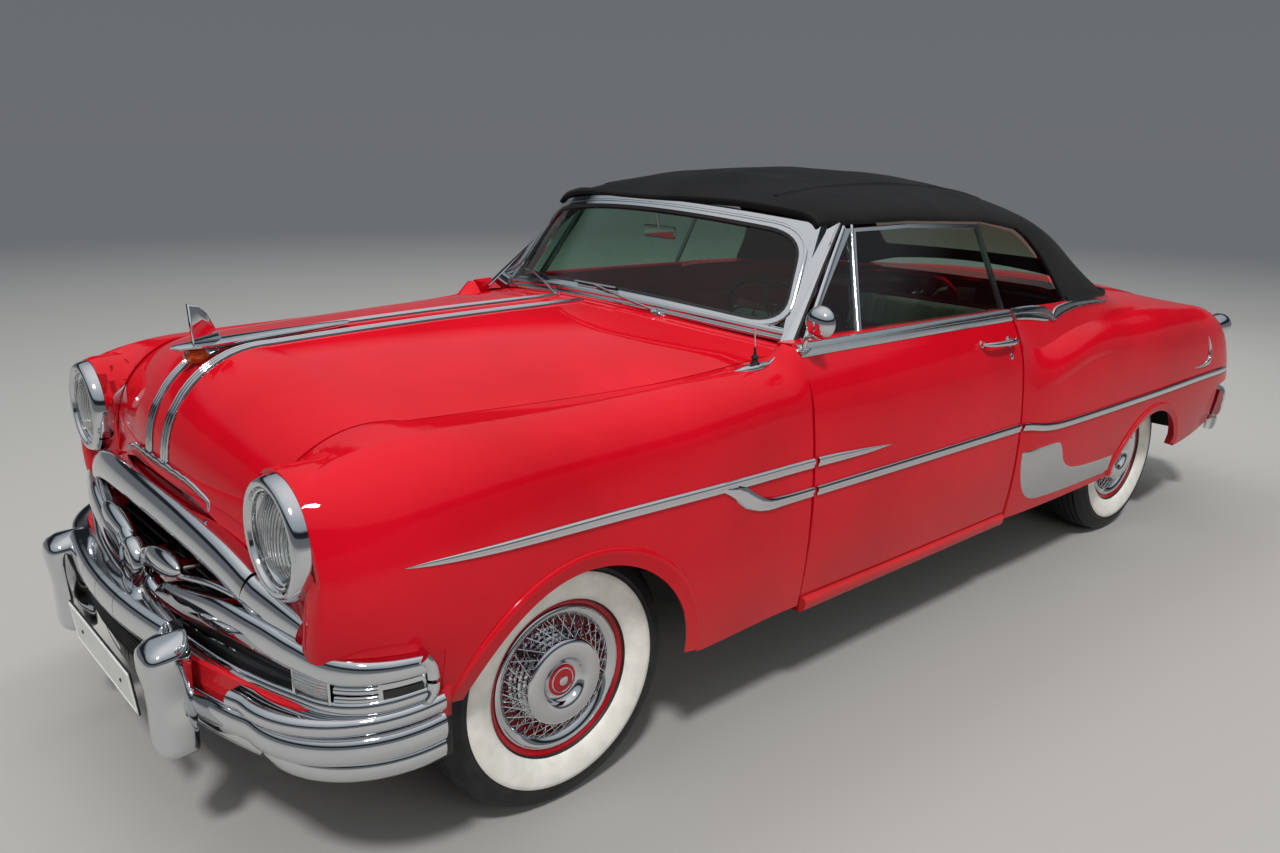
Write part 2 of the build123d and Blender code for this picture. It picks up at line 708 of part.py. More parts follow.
def chassis_frame():
    """Two box rails with cross members, kicked up over the rear axle."""
    # Columns: x, y, z at the rail's middle
    rows = ((2200, 400, 400), (1300, 400, 400), (900, 560, 270), (-800, 560, 270),
            (-1150, 500, 520), (-1650, 500, 520), (-1900, 500, 470), (-2300, 500, 470))
    piece = Part()
    for (x0, y0, z0), (x1, y1, z1) in zip(rows, rows[1:]):
        rings = []
        for x, y, z in ((x0, y0, z0), (x1, y1, z1)):
            u = across(y)
            v = high(z)
            points = [(u - RAIL_HALF, v - RAIL_HALF), (u + RAIL_HALF, v - RAIL_HALF),
                      (u + RAIL_HALF, v + RAIL_HALF), (u - RAIL_HALF, v + RAIL_HALF)]
            rings.append(ring(yz(along(x)), points, "lll"))
        span = skin(rings, True)
        piece += span
        piece += other_side(span)
    for x, y, z in ((2150, 400, 400), (1695, 400, 335), (860, 560, 270), (-680, 560, 270),
                    (-1700, 500, 510), (-2250, 500, 470)):
        piece += block(along(x) - 40, along(x) + 40, -across(y), across(y), high(z) - BEAM_HALF, high(z) + BEAM_HALF)
    return piece


OVER_RAIL = high(270) + RAIL_HALF + 1
KICK_X = along(-785)
OVER_AXLE = high(520) + RAIL_HALF + 25
TRUNK_FLOOR_Z = high(540)
TRUNK_FLOOR_X = along(-1850)
TUNNEL_HALF = 112
TUNNEL_TALL = 172
FRONT_SEAT_LOW_Z = OVER_RAIL + TUNNEL_TALL + 2


def tunnel_space(x_back, x_front):
    """The space under the floor's tunnel, open below, for the drive shaft."""
    inner = TUNNEL_HALF - SHEET
    return block(x_back, x_front, -inner, inner, OVER_RAIL - 1, OVER_RAIL + TUNNEL_TALL - SHEET)


JACK_PAD = 14


def floor_pan():
    """Cabin floor with the tunnel, sills, seat risers, kick-up over the axle and trunk floor."""
    front = along(880)
    half = across(815)
    flat = block(KICK_X, front, -half, half, OVER_RAIL, OVER_RAIL + SHEET)
    tunnel = block(KICK_X, front, -TUNNEL_HALF, TUNNEL_HALF, OVER_RAIL, OVER_RAIL + TUNNEL_TALL)
    sill = block(along(-255), along(866), across(760), across(905), OVER_RAIL, DOOR_LOW_Z - 8)
    kick = block(KICK_X - SHEET, KICK_X, -half, half, OVER_RAIL, OVER_AXLE)
    shelf = block(TRUNK_FLOOR_X, KICK_X, SEAT_GAP - WELL_Y, WELL_Y - SEAT_GAP, OVER_AXLE, OVER_AXLE + SHEET)
    trunk = block(along(-2330), TRUNK_FLOOR_X, -across(555), across(555),
                  TRUNK_FLOOR_Z, TRUNK_FLOOR_Z + SHEET)
    wall = block(TRUNK_FLOOR_X, TRUNK_FLOOR_X + SHEET, -across(555), across(555),
                 TRUNK_FLOOR_Z, OVER_AXLE + SHEET)
    riser = block(along(-380), along(60), across(540), across(590), OVER_RAIL, FRONT_SEAT_LOW_Z)
    pad = block(along(260), along(340), across(835), across(885), OVER_RAIL - JACK_PAD, OVER_RAIL)
    joined = flat + tunnel + sill + other_side(sill) + kick + shelf + trunk + wall
    joined += pad + other_side(pad)
    joined += riser + other_side(riser)
    return joined - tunnel_space(KICK_X - SHEET - 1, front + 1)


def front_apron():
    """The upright sheet between the engine bay and the front wheel."""
    y = across(452)
    sheet = block(along(900), along(2150), y, y + 6, high(480), high(975))
    arm_cut = block(FRONT_AXLE_X - 160, FRONT_AXLE_X + 160, 0, WIDTH, 0, AXLE_Z + 170)
    return sheet - arm_cut


ENGINE_HALF = 170
SHAFT_Z = high(430)


def engine_block():
    """The engine and gearbox as one plain block."""
    return block(along(1150), along(1960), -ENGINE_HALF, ENGINE_HALF, high(380), high(930))


FRONT_BEAM_X = along(2150)
BEAM_HALF = 35


def hood_rest():
    """A rubber post that the closed hood rests on."""
    post = rod((FRONT_BEAM_X, across(240), high(900)), (FRONT_BEAM_X, across(240), high(1108)), 12)
    return post - Pos(0, 0, -SEAT_GAP) * hood()


def radiator():
    core = block(FRONT_BEAM_X - 40, FRONT_BEAM_X + 20, -across(290), across(290),
                 high(400) + BEAM_HALF + SEAT_GAP, high(950))
    return core + both_sides(hood_rest())


ARM_LOW = 110
ARM_TOP = 130


def front_suspension():
    """Upper and lower arms of one front wheel, out to the pivots of the steering knuckle."""
    x = FRONT_AXLE_X
    y0 = across(400) + RAIL_HALF
    y1 = KINGPIN_Y
    low = prism(xy(AXLE_Z - ARM_LOW), [(x - 150, y0), (x + 150, y0), (x + 22, y1 + 15), (x - 22, y1 + 15)],
                "lll", 12)
    top = prism(xy(AXLE_Z + ARM_TOP), [(x - 110, y0), (x + 110, y0), (x + 20, y1 + 12), (x - 20, y1 + 12)],
                "lll", 9)
    bracket = block(x - 110, x + 110, y0 - 20, y0 + 6, high(400) + RAIL_HALF, AXLE_Z + 139)
    foot = block(x - 150, x + 150, y0, y0 + 6, AXLE_Z - 122, high(400))
    return low + top + bracket + foot


def knuckle():
    """Upright on the kingpin with the spindle that carries the wheel and the steering arm."""
    x = FRONT_AXLE_X
    upright = block(x - 24, x + 24, KINGPIN_Y - 22, KINGPIN_Y + 18, AXLE_Z - ARM_LOW + 12 + SEAT_GAP, AXLE_Z + ARM_TOP - 9 - SEAT_GAP)
    spindle = rod((x, KINGPIN_Y, AXLE_Z), (x, FRONT_WHEEL_Y + 20, AXLE_Z), SPINDLE_RADIUS)
    arm = block(x - 130, x - 20, KINGPIN_Y - 50, KINGPIN_Y - 25, AXLE_Z - 60, AXLE_Z - 40)
    root = block(x - 60, x - 20, KINGPIN_Y - 50, KINGPIN_Y, AXLE_Z - 60, AXLE_Z - 40)
    return upright + spindle + arm + root


SPINDLE_RADIUS = 17
HUB_BORE = SPINDLE_RADIUS + 0.08


def wheel():
    """Rim, disc, brake drum and dished wire-wheel cover as one turned piece, outer side +Y."""
    r = RIM_RADIUS
    w = TYRE_WIDTH * 0.42
    profile = [(HUB_BORE, -45), (140, -45), (140, -12), (r - 26, -12), (r - 16, -w), (r + 12, -w),
               (r - 6, -w + 14), (r - 6, w - 14), (r + 14, w), (r + 10, w + 8), (r - 14, w + 2),
               (r - 40, 44), (78, 56), (70, 82), (0.001, 86), (0.001, 26), (HUB_BORE, 26)]
    return turned(profile, "l" * (len(profile) - 1), 0, 0, 0)


def tyre():
    """Turned ring with round shoulders, seated on the rim."""
    r = RIM_RADIUS - 5.7
    out = TYRE_RADIUS
    half = TYRE_WIDTH / 2
    bead = TYRE_WIDTH * 0.42 - 16
    side = out - r
    profile = [(r, -bead), (r + 26, -bead - 7), (r + 0.3 * side, -half + 5), (r + 0.55 * side, -half),
               (r + 0.78 * side, -half + 7), (out - 8, -half + 28), (out, -half + 45),
               (out, half - 45), (out - 8, half - 28), (r + 0.78 * side, half - 7),
               (r + 0.55 * side, half), (r + 0.3 * side, half - 5), (r + 26, bead + 7), (r, bead)]
    return turned(profile, "aaalaaa", 0, 0, 0)


AXLE_BALL = 120
AXLE_TUBE = 38


def rear_axle():
    """Axle tube with its differential and the spindles that carry the wheels."""
    y = REAR_WHEEL_Y
    tube = rod((REAR_AXLE_X, -y + 60, AXLE_Z), (REAR_AXLE_X, y - 60, AXLE_Z), AXLE_TUBE)
    spindle = rod((REAR_AXLE_X, -y - 20, AXLE_Z), (REAR_AXLE_X, y + 20, AXLE_Z), SPINDLE_RADIUS)
    ball = Pos(REAR_AXLE_X, 0, AXLE_Z) * Sphere(AXLE_BALL)
    return tube + spindle + ball


def leaf_spring():
    """Bowed leaf pack under the axle with its front hanger and rear shackle."""
    x = REAR_AXLE_X
    y = across(455)
    reach = 640
    half = 30
    leaf = 22
    z_front = high(270) - 30
    z_back = high(470) - RAIL_HALF - 21
    points = [(x + reach, z_front), (x, AXLE_Z - 60), (x - reach, z_back)]
    leaves = skin([wall_ring(xz(y - half), points, "a", leaf),
                   wall_ring(xz(y + half), points, "a", leaf)], True)
    pad = block(x - 60, x + 60, y - half, y + half, AXLE_Z - 62, AXLE_Z - AXLE_TUBE - 0.3)
    hanger = block(x + reach - 30, x + reach, y - half, across(560) - RAIL_HALF, z_front - leaf, z_front)
    shackle = block(x - reach, x - reach + 40, y - half, y + half, z_back - leaf, z_back + 20.7)
    return leaves + pad + hanger + shackle


def drive_shaft():
    front = (along(1150) - 1.6, 0, SHAFT_Z)
    back = (REAR_AXLE_X + AXLE_BALL + 0.3, 0, AXLE_Z)
    return rod(front, back, 38)


def exhaust():
    """Pipe along the right side with its muffler and a tail pipe under the bumper."""
    y = -across(330)
    z = high(200)
    pipe = rod((along(1100), y, z), (along(-2380), y, z), 24)
    muffler = rod((along(100), y, z), (along(-500), y, z), 72)
    down = rod((along(1250), -ENGINE_HALF - 23.2, high(600)), (along(1100), y, z), 24)
    return pipe + muffler + down


def fuel_tank():
    return block(along(-2230), along(-1790), -across(385), across(385), high(320), high(470) - BEAM_HALF - SEAT_GAP)


# Cabin
DASH_HALF = 686


def dashboard():
    rings = []
    for y, x_back, z_top in ((-DASH_HALF, 640, 1070), (0, 730, 1100), (DASH_HALF, 640, 1070)):
        points = [(along(x_back), high(860)), (along(x_back) - 30, high(z_top) - 60),
                  (along(x_back) + 30, high(z_top)), (along(x_back) + 90, high(z_top) - 4),
                  (along(x_back) + 90, high(860))]
        rings.append(ring(xz(across(y)), points, "lal"))
    passage = steering_place() * Pos(0, 0, -300) * Cylinder(COLUMN_RADIUS + 0.3, 600)
    return skin(rings) - passage


WHEEL_TILT = 62
STEER_SHAFT_RADIUS = 14
COLUMN_RADIUS = 26
COLUMN_LENGTH = 489
STEER_X = 400
STEER_Y = 370
STEER_Z = 1035


def steering_place():
    return Pos(along(STEER_X), across(STEER_Y), high(STEER_Z)) * Rot(0, -WHEEL_TILT, 0)


def steering_wheel():
    rim = Torus(215, 11)
    hub = Pos(0, 0, -10) * Cylinder(38, 40)
    spokes = Part() + [Rot(0, 0, a) * Pos(120, 0, 0) * Box(200, 22, 12) for a in (0, 120, 240)]
    shaft = Pos(0, 0, -75) * Cylinder(STEER_SHAFT_RADIUS, 90)
    return steering_place() * (rim + hub + spokes + shaft)


def steering_column(radius=COLUMN_RADIUS):
    tube = Pos(0, 0, -40 - COLUMN_LENGTH / 2) * Cylinder(radius, COLUMN_LENGTH)
    bore = Pos(0, 0, -90) * Cylinder(STEER_SHAFT_RADIUS + 0.08, 130)
    return steering_place() * (tube - bore)


def seat(x_front, x_back, z_low, z_top, rise, half, lean):
    """A bench: cushion and leaning back with round edges, in one closed shape."""
    u = [along(x) for x in (x_front, x_back, x_back - lean)]
    deep = 150
    points = [(u[0], z_low), (u[0] + 15, (z_low + z_top) / 2), (u[0] - 20, z_top),
              (u[1] + deep, z_top - 15), (u[2] + deep - 10, rise - 60),
              (u[2] + deep / 2, rise), (u[2] + 5, rise - 60), (u[1], z_low)]
    face = ring(xz(0), points, "allal")
    return Part() + Solid.extrude(Face(face).moved(Location((0, -half, 0))), Vector(0, 2 * half, 0))


def front_seat():
    return seat(120, -430, FRONT_SEAT_LOW_Z + 0.3, high(600), high(1010), across(690), 110)


def rear_seat():
    low = OVER_AXLE + SHEET + 0.3
    return seat(-790, -1180, low, low + 105, high(1030), across(540), 100)


def tail_lamp():
    """Round lamp at the end of the rear fender, in a bright rim."""
    x = along(-2230)
    y = across(850)
    z = high(840)
    return largest(rod((x + 60, y, z), (x - 70, y, z), 52) - rear_quarter())


def build():
    made = {}
    left = {"front_fender": front_fender(), "rear_quarter": rear_quarter(), "door": door(),
            "door_window": door_window(), "door_window_frame": door_window_frame(),
            "knuckle": knuckle()}
    for name, piece in left.items():
        made[name + "_left"] = piece
        made[name + "_right"] = other_side(piece)
    shared = {"headlamps": headlamp(), "front_aprons": front_apron(), "wheel_wells": wheel_well(),
              "quarter_windows": quarter_window(), "front_suspension": front_suspension(),
              "leaf_springs": leaf_spring(), "tail_lamps": tail_lamp(), "side_wings": side_wing()}
    for name, piece in shared.items():
        made[name] = both_sides(piece)
    single = {"hood": hood(), "trunk_lid": trunk_lid(), "nose_panel": nose_panel(),
              "grille": grille(), "crown_bar": crown_bar(),
              "front_bumper": front_bumper(), "rear_bumper": rear_bumper(),
              "rear_deck": rear_deck(), "tail_panel": tail_panel(), "cowl": cowl(),
              "windshield_glass": windshield_glass(), "windshield_frame": windshield_frame(),
              "convertible_top": convertible_top(), "rear_window": rear_window(),
              "door_mirror": door_mirror(), "chassis_frame": chassis_frame(),
              "floor_pan": floor_pan(), "engine_block": engine_block(), "radiator": radiator(),
              "rear_axle": rear_axle(), "drive_shaft": drive_shaft(), "exhaust": exhaust(),
              "fuel_tank": fuel_tank(), "dashboard": dashboard(),
              "steering_wheel": steering_wheel(), "steering_column": steering_column(),
              "front_seat": front_seat(), "rear_seat": rear_seat()}
    made.update(single)
    corners = (("front_left", FRONT_AXLE_X, FRONT_WHEEL_Y, 1),
               ("front_right", FRONT_AXLE_X, FRONT_WHEEL_Y, -1),
               ("rear_left", REAR_AXLE_X, REAR_WHEEL_Y, 1),
               ("rear_right", REAR_AXLE_X, REAR_WHEEL_Y, -1))
    rim = wheel()
    rubber = tyre()
    for name, x, y, side in corners:
        for kind, piece in (("wheel_", rim), ("tyre_", rubber)):
            placed = Pos(x, y, AXLE_Z) * piece
            made[kind + name] = placed if side > 0 else other_side(placed)
    return made


for node, piece in build().items():
    piece.label = node
    export_step(piece, "parts/" + node + ".step")
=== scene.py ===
from math import asin, atan2, copysign, cos, exp, hypot, pi, radians, sin, sqrt, tau

import bmesh
import bpy
from mathutils import Matrix, Vector
from mathutils.bvhtree import BVHTree


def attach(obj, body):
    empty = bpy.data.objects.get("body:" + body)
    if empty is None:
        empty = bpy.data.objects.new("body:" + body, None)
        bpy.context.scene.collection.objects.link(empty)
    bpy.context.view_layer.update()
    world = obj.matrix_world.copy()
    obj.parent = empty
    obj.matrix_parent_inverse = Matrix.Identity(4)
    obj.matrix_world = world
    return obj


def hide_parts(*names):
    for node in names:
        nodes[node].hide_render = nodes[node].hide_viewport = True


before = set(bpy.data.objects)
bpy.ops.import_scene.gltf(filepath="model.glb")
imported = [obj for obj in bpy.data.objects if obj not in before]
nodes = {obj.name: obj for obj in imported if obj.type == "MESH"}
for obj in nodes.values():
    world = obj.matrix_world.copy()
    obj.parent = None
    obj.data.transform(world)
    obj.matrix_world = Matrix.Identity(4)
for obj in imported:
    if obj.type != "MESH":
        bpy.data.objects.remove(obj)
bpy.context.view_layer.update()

# Camera
# It stands ahead of the left front fender at eye height and looks down along the car's left side.
camera = bpy.data.objects.new("camera", bpy.data.cameras.new("camera"))
bpy.context.scene.collection.objects.link(camera)
bpy.context.scene.camera = camera
camera_place = Vector((3.1301, 2.7097, 1.6936))
camera_target = Vector((0.7841, 0.0851, 0.7))
camera_roll = 0.01515
camera.data.lens = 29.21
camera.data.sensor_width = 36.0
camera.data.sensor_fit = "HORIZONTAL"
camera.data.clip_end = 300.0
camera.rotation_mode = "QUATERNION"
camera.location = camera_place
look = (camera_target - camera_place).to_track_quat("-Z", "Y")
camera.rotation_quaternion = (look.to_matrix() @ Matrix.Rotation(camera_roll, 3, "Z")).to_quaternion()


# Floor and light
# A plain grey studio floor that darkens with distance, under a high sun from the front left
# and three soft boxes. The air is grey at the horizon, darker above it and white overhead.
def linear(code):
    """sRGB hex colour as linear RGBA."""
    parts = [int(code[i:i + 2], 16) / 255 for i in (0, 2, 4)]
    return [p / 12.92 if p <= 0.04045 else ((p + 0.055) / 1.055) ** 2.4 for p in parts] + [1.0]


def add_node(tree, kind, settings=None, inputs=None):
    """One node with its settings and its inputs: a value, or the output that is linked in."""
    node = tree.nodes.new("ShaderNode" + kind)
    for name, value in (settings or {}).items():
        setattr(node, name, value)
    for name, value in (inputs or {}).items():
        socket = node.inputs[name]
        if isinstance(value, bpy.types.NodeSocket):
            tree.links.new(value, socket)
        else:
            socket.default_value = value
    return node


def new_material(name, colour=None, **inputs):
    """A material with only the Principled shader, that shader's colour and its other inputs."""
    made = bpy.data.materials.new(name)
    made.use_nodes = True
    tree = made.node_tree
    shader = tree.nodes["Principled BSDF"]
    if colour:
        shader.inputs["Base Color"].default_value = linear(colour)
    for key, value in inputs.items():
        shader.inputs[key.replace("_", " ")].default_value = value
    return made, tree, shader


light_level = 0.78
floor_bm = bmesh.new()
bmesh.ops.create_grid(floor_bm, x_segments=1, y_segments=1, size=90.0)
floor_mesh = bpy.data.meshes.new("studio_floor")
floor_bm.to_mesh(floor_mesh)
floor_bm.free()
studio_floor = bpy.data.objects.new("studio_floor", floor_mesh)
bpy.context.scene.collection.objects.link(studio_floor)
floor_paint, floor_tree, floor_shader = new_material("matt_floor_paint", Roughness=0.9,
    Specular_IOR_Level=0.05)
floor_place = add_node(floor_tree, "TexCoord")
floor_reach = add_node(floor_tree, "VectorMath", {"operation": "LENGTH"},
    {0: floor_place.outputs["Object"]})
floor_fade = add_node(floor_tree, "MapRange", {"interpolation_type": "SMOOTHSTEP"},
    {"Value": floor_reach.outputs["Value"], "From Min": 3.0, "From Max": 16.0})
floor_tone = add_node(floor_tree, "Mix", {"data_type": "RGBA"},
    {0: floor_fade.outputs["Result"], 6: linear("A3A19D"), 7: linear("686A6C")})
floor_tree.links.new(floor_tone.outputs[2], floor_shader.inputs["Base Color"])
floor_mesh.materials.append(floor_paint)

bpy.context.scene.view_settings.view_transform = "Standard"
world = bpy.data.worlds.new("studio_air")
bpy.context.scene.world = world
world.use_nodes = True
air = world.node_tree
air.nodes.clear()
direction = add_node(air, "TexCoord")
height = add_node(air, "SeparateXYZ", inputs={"Vector": direction.outputs["Generated"]})
air_ramp = add_node(air, "ValToRGB", inputs={"Fac": height.outputs["Z"]})
air_stops = air_ramp.color_ramp.elements
air_stops[0].color = linear("787B7F")
air_stops[1].color = linear("FFFFFF")
for step, shade in ((0.16, "757A7E"), (0.20, "2E3236"), (0.34, "202428"), (0.42, "A9B2BA"),
        (0.65, "C4CCD3")):
    air_stops.new(step).color = linear(shade)
soft_air = add_node(air, "Background", inputs={"Color": air_ramp.outputs["Color"],
    "Strength": light_level})
add_node(air, "OutputWorld", inputs={"Surface": soft_air.outputs["Background"]})

sun = bpy.data.lights.new("high_sun", "SUN")
sun.energy = 2.75 * light_level
sun.angle = radians(7)
sun_lamp = bpy.data.objects.new("high_sun", sun)
sun_lamp.rotation_mode = "QUATERNION"
sun_lamp.rotation_quaternion = Vector((0.45, 0.50, 1.0)).to_track_quat("Z", "Y")
bpy.context.scene.collection.objects.link(sun_lamp)


def soft_lamp(name, place, target, width, length, watts):
    """A rectangular soft box that faces its target."""
    data = bpy.data.lights.new(name, "AREA")
    data.shape = "RECTANGLE"
    data.size = width
    data.size_y = length
    data.energy = watts * light_level
    lamp = bpy.data.objects.new(name, data)
    lamp.location = place
    lamp.rotation_mode = "QUATERNION"
    lamp.rotation_quaternion = (Vector(target) - Vector(place)).to_track_quat("-Z", "Y")
    lamp.visible_glossy = False
    bpy.context.scene.collection.objects.link(lamp)


soft_lamp("overhead_box", (0.6, -1.2, 4.6), (0.2, 0.0, 0.8), 6.0, 1.2, 120.0)
soft_lamp("side_box", (2.0, 6.0, 2.6), (0.4, 0.0, 0.7), 5.0, 1.6, 90.0)
soft_lamp("rear_box", (-6.0, -3.0, 3.0), (-0.6, 0.0, 0.8), 3.0, 1.6, 60.0)


# Body panels
# Pressed steel panels in cellulose enamel, sprayed and polished: a deep red under a hard clear
# gloss, with a faint orange peel and a little road dust low down.
def noise(tree, scale, detail=2.0, roughness=0.5):
    """Soft noise over the object, this many clouds to a metre."""
    place = add_node(tree, "TexCoord")
    clouds = add_node(tree, "TexNoise", inputs={"Vector": place.outputs["Object"], "Scale": scale,
        "Detail": detail, "Roughness": roughness})
    return clouds.outputs["Fac"]


def toned(tree, value, stops):
    """The colour for a value between 0 and 1, from two stops of position and hex colour."""
    ramp = add_node(tree, "ValToRGB", inputs={"Fac": value})
    for element, (position, shade) in zip(ramp.color_ramp.elements, stops):
        element.position = position
        element.color = linear(shade)
    return ramp.outputs["Color"]


def bump(tree, socket, height, strength, distance):
    """Makes a shader's normal follow a height."""
    relief = add_node(tree, "Bump", inputs={"Strength": strength, "Distance": distance, "Height": height})
    tree.links.new(relief.outputs["Normal"], socket)


def combined(tree, operation, first, second=0.0):
    """One sum over one or two values."""
    return add_node(tree, "Math", {"operation": operation}, {0: first, 1: second}).outputs["Value"]


def mapped(tree, value, from_low, from_high, to_low, to_high):
    """A value carried from one range to another and held within it."""
    made = add_node(tree, "MapRange", inputs={"Value": value, "From Min": from_low, "From Max": from_high,
        "To Min": to_low, "To Max": to_high})
    return made.outputs["Result"]


def axis_place(tree, axis):
    """Where a place is along one axis of the object, in metres."""
    place = add_node(tree, "TexCoord")
    return add_node(tree, "SeparateXYZ", inputs={"Vector": place.outputs["Object"]}).outputs[axis]


red_paint, paint_tree, paint_shader = new_material("red_enamel_paint", Roughness=0.5,
    Specular_IOR_Level=0.0, Coat_IOR=1.45, Coat_Weight=0.7, Coat_Roughness=0.02)
paint_tone = toned(paint_tree, noise(paint_tree, 2.5, 3.0), ((0.3, "B80818"), (0.7, "CC0C20")))
low_down = mapped(paint_tree, axis_place(paint_tree, "Z"), 0.62, 0.30, 0.0, 0.16)
dust = combined(paint_tree, "MULTIPLY", low_down, noise(paint_tree, 240.0))
dusted = add_node(paint_tree, "Mix", {"data_type": "RGBA"}, {0: dust, 6: paint_tone, 7: linear("A39A8C")})
paint_tree.links.new(dusted.outputs[2], paint_shader.inputs["Base Color"])
bump(paint_tree, paint_shader.inputs["Coat Normal"], noise(paint_tree, 180.0, 1.0), 0.02, 0.001)


def refinish(material, *names):
    """Gives these CAD nodes one material in every slot."""
    for name in names:
        for one in nodes[name].material_slots:
            one.material = material


refinish(red_paint, "hood", "trunk_lid", "nose_panel", "rear_deck", "tail_panel", "cowl",
    "rear_quarter_left", "rear_quarter_right", "door_left", "door_right")


# Underbody
# Rails, floor and arches in black bitumen paint, springs and axles in black chassis enamel, the
# exhaust in bare steel that has gone brown, and the engine in grey-green block enamel.
def coated_steel(name, dark, light, roughness, scale, height, metallic=0.0):
    """Painted or bare steel whose colour and roughness change in patches this many per metre."""
    made, tree, shader = new_material(name, Metallic=metallic)
    patch = noise(tree, scale, 6.0, 0.65)
    tree.links.new(toned(tree, patch, ((0.35, dark), (0.68, light))), shader.inputs["Base Color"])
    gloss = mapped(tree, patch, 0.0, 1.0, roughness - 0.1, roughness + 0.1)
    tree.links.new(gloss, shader.inputs["Roughness"])
    bump(tree, shader.inputs["Normal"], noise(tree, scale * 12, 3.0), 0.5, height)
    return made


bitumen = coated_steel("black_bitumen_paint", "0D0D0E", "1E1C1A", 0.7, 14.0, 0.0012)
enamel_and_painted_shade = coated_steel("black_enamel_and_painted_shade", "101011", "262422", 0.42, 22.0, 0.0004)
exhaust_steel = coated_steel("browned_exhaust_steel", "3A2E27", "6E6258", 0.5, 18.0, 0.0005, 0.8)
block_enamel = coated_steel("grey_green_block_enamel", "2A3A35", "3B4D46", 0.45, 12.0, 0.0008)
refinish(bitumen, "floor_pan", "wheel_wells", "front_aprons", "chassis_frame", "fuel_tank")
refinish(enamel_and_painted_shade, "knuckle_left", "knuckle_right", "front_suspension", "leaf_springs", "rear_axle",
    "drive_shaft", "radiator")
refinish(exhaust_steel, "exhaust")
refinish(block_enamel, "engine_block")


# Tyres
# Black rubber tyres with five grooves round the tread and a wide white wall that stands a
# millimetre proud of the outer side.
MM = 0.001


def facing(place, direction):
    """The matrix that carries a shape from the origin to a place, its Z along the direction."""
    turn = Vector(direction).to_track_quat("Z", "Y").to_matrix().to_4x4()
    return Matrix.Translation(Vector(place)) @ turn


def turned(bm, profile, steps=64, material=0, place=None):
    """A body of revolution: the profile's radius and height pairs spun round Z, then placed."""
    old_verts = set(bm.verts)
    old_faces = set(bm.faces)
    line = [bm.verts.new((radius, 0.0, rise)) for radius, rise in profile]
    edges = [bm.edges.new(pair) for pair in zip(line, line[1:])]
    bmesh.ops.spin(bm, geom=line + edges, cent=(0, 0, 0), axis=(0, 0, 1), angle=tau, steps=steps,
        use_merge=True, use_duplicate=False)
    bmesh.ops.remove_doubles(bm, verts=[v for v in bm.verts if v not in old_verts], dist=0.001)
    made = [f for f in bm.faces if f not in old_faces]
    for face in made:
        face.material_index = material
    if place:
        bmesh.ops.transform(bm, matrix=place, verts=[v for v in bm.verts if v not in old_verts])
    return made


def finish_piece(name, bm, materials, sharp=38.0, body="body"):
    """A bmesh in millimetres becomes an object in metres that rides on its body."""
    bmesh.ops.remove_doubles(bm, verts=bm.verts, dist=0.005)
    bmesh.ops.recalc_face_normals(bm, faces=bm.faces)
    bmesh.ops.scale(bm, vec=(MM, MM, MM), verts=bm.verts)
    for face in bm.faces:
        face.smooth = True
    for edge in bm.edges:
        if len(edge.link_faces) == 2 and edge.calc_face_angle(0.0) > radians(sharp):
            edge.smooth = False
    mesh = bpy.data.meshes.new(name)
    bm.to_mesh(mesh)
    bm.free()
    for material in materials:
        mesh.materials.append(material)
    piece = bpy.data.objects.new(name, mesh)
    bpy.context.scene.collection.objects.link(piece)
    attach(piece, body)
    return piece


on_body = ("body", "body")
on_doors = ("door_left", "door_right")


def finish_pair(name, bm, materials, sharp=38.0, bodies=on_body):
    """The left piece as it is and its mirror image on the right, each on its own body."""
    right = bm.copy()
    bmesh.ops.scale(right, vec=(1, -1, 1), verts=right.verts)
    left_piece = finish_piece(name + "_left", bm, materials, sharp, bodies[0])
    right_piece = finish_piece(name + "_right", right, materials, sharp, bodies[1])
    return left_piece, right_piece


def rubber(name, dark, light, roughness):
    made, tree, shader = new_material(name, Roughness=roughness)
    tone = toned(tree, noise(tree, 26.0, 5.0), ((0.32, dark), (0.7, light)))
    tree.links.new(tone, shader.inputs["Base Color"])
    bump(tree, shader.inputs["Normal"], noise(tree, 900.0), 0.3, 0.0003)
    return made


black_rubber = rubber("black_tyre_rubber", "131315", "232324", 0.62)
white_rubber = rubber("white_wall_rubber", "D9D6CC", "E9E6DD", 0.55)
tyre_radius = 355.0
front_axle_x = 1695.0
rear_axle_x = -1404.0
wheel_places = {"front_left": (front_axle_x, 743.0), "front_right": (front_axle_x, -743.0),
    "rear_left": (rear_axle_x, 750.0), "rear_right": (rear_axle_x, -750.0)}


def move_to_corner(bm, corner):
    """Carries a part of a wheel from the origin to its corner, its Z out of the car."""
    wheel_x, wheel_y = wheel_places[corner]
    place = facing((wheel_x, wheel_y, tyre_radius), (0, wheel_y, 0))
    bmesh.ops.transform(bm, matrix=place, verts=bm.verts)


def tread_line():
    """Radius and height pairs across the tread, with its grooves."""
    line = []
    for groove in (50.0, 27.0, 0.0, -27.0, -50.0):
        crown = tyre_radius - 4.0 * (groove / 60.0) ** 2
        for across, deep in ((5.0, 0.0), (3.4, 8.0), (-3.4, 8.0), (-5.0, 0.0)):
            line.append((crown - deep, groove + across))
    return line


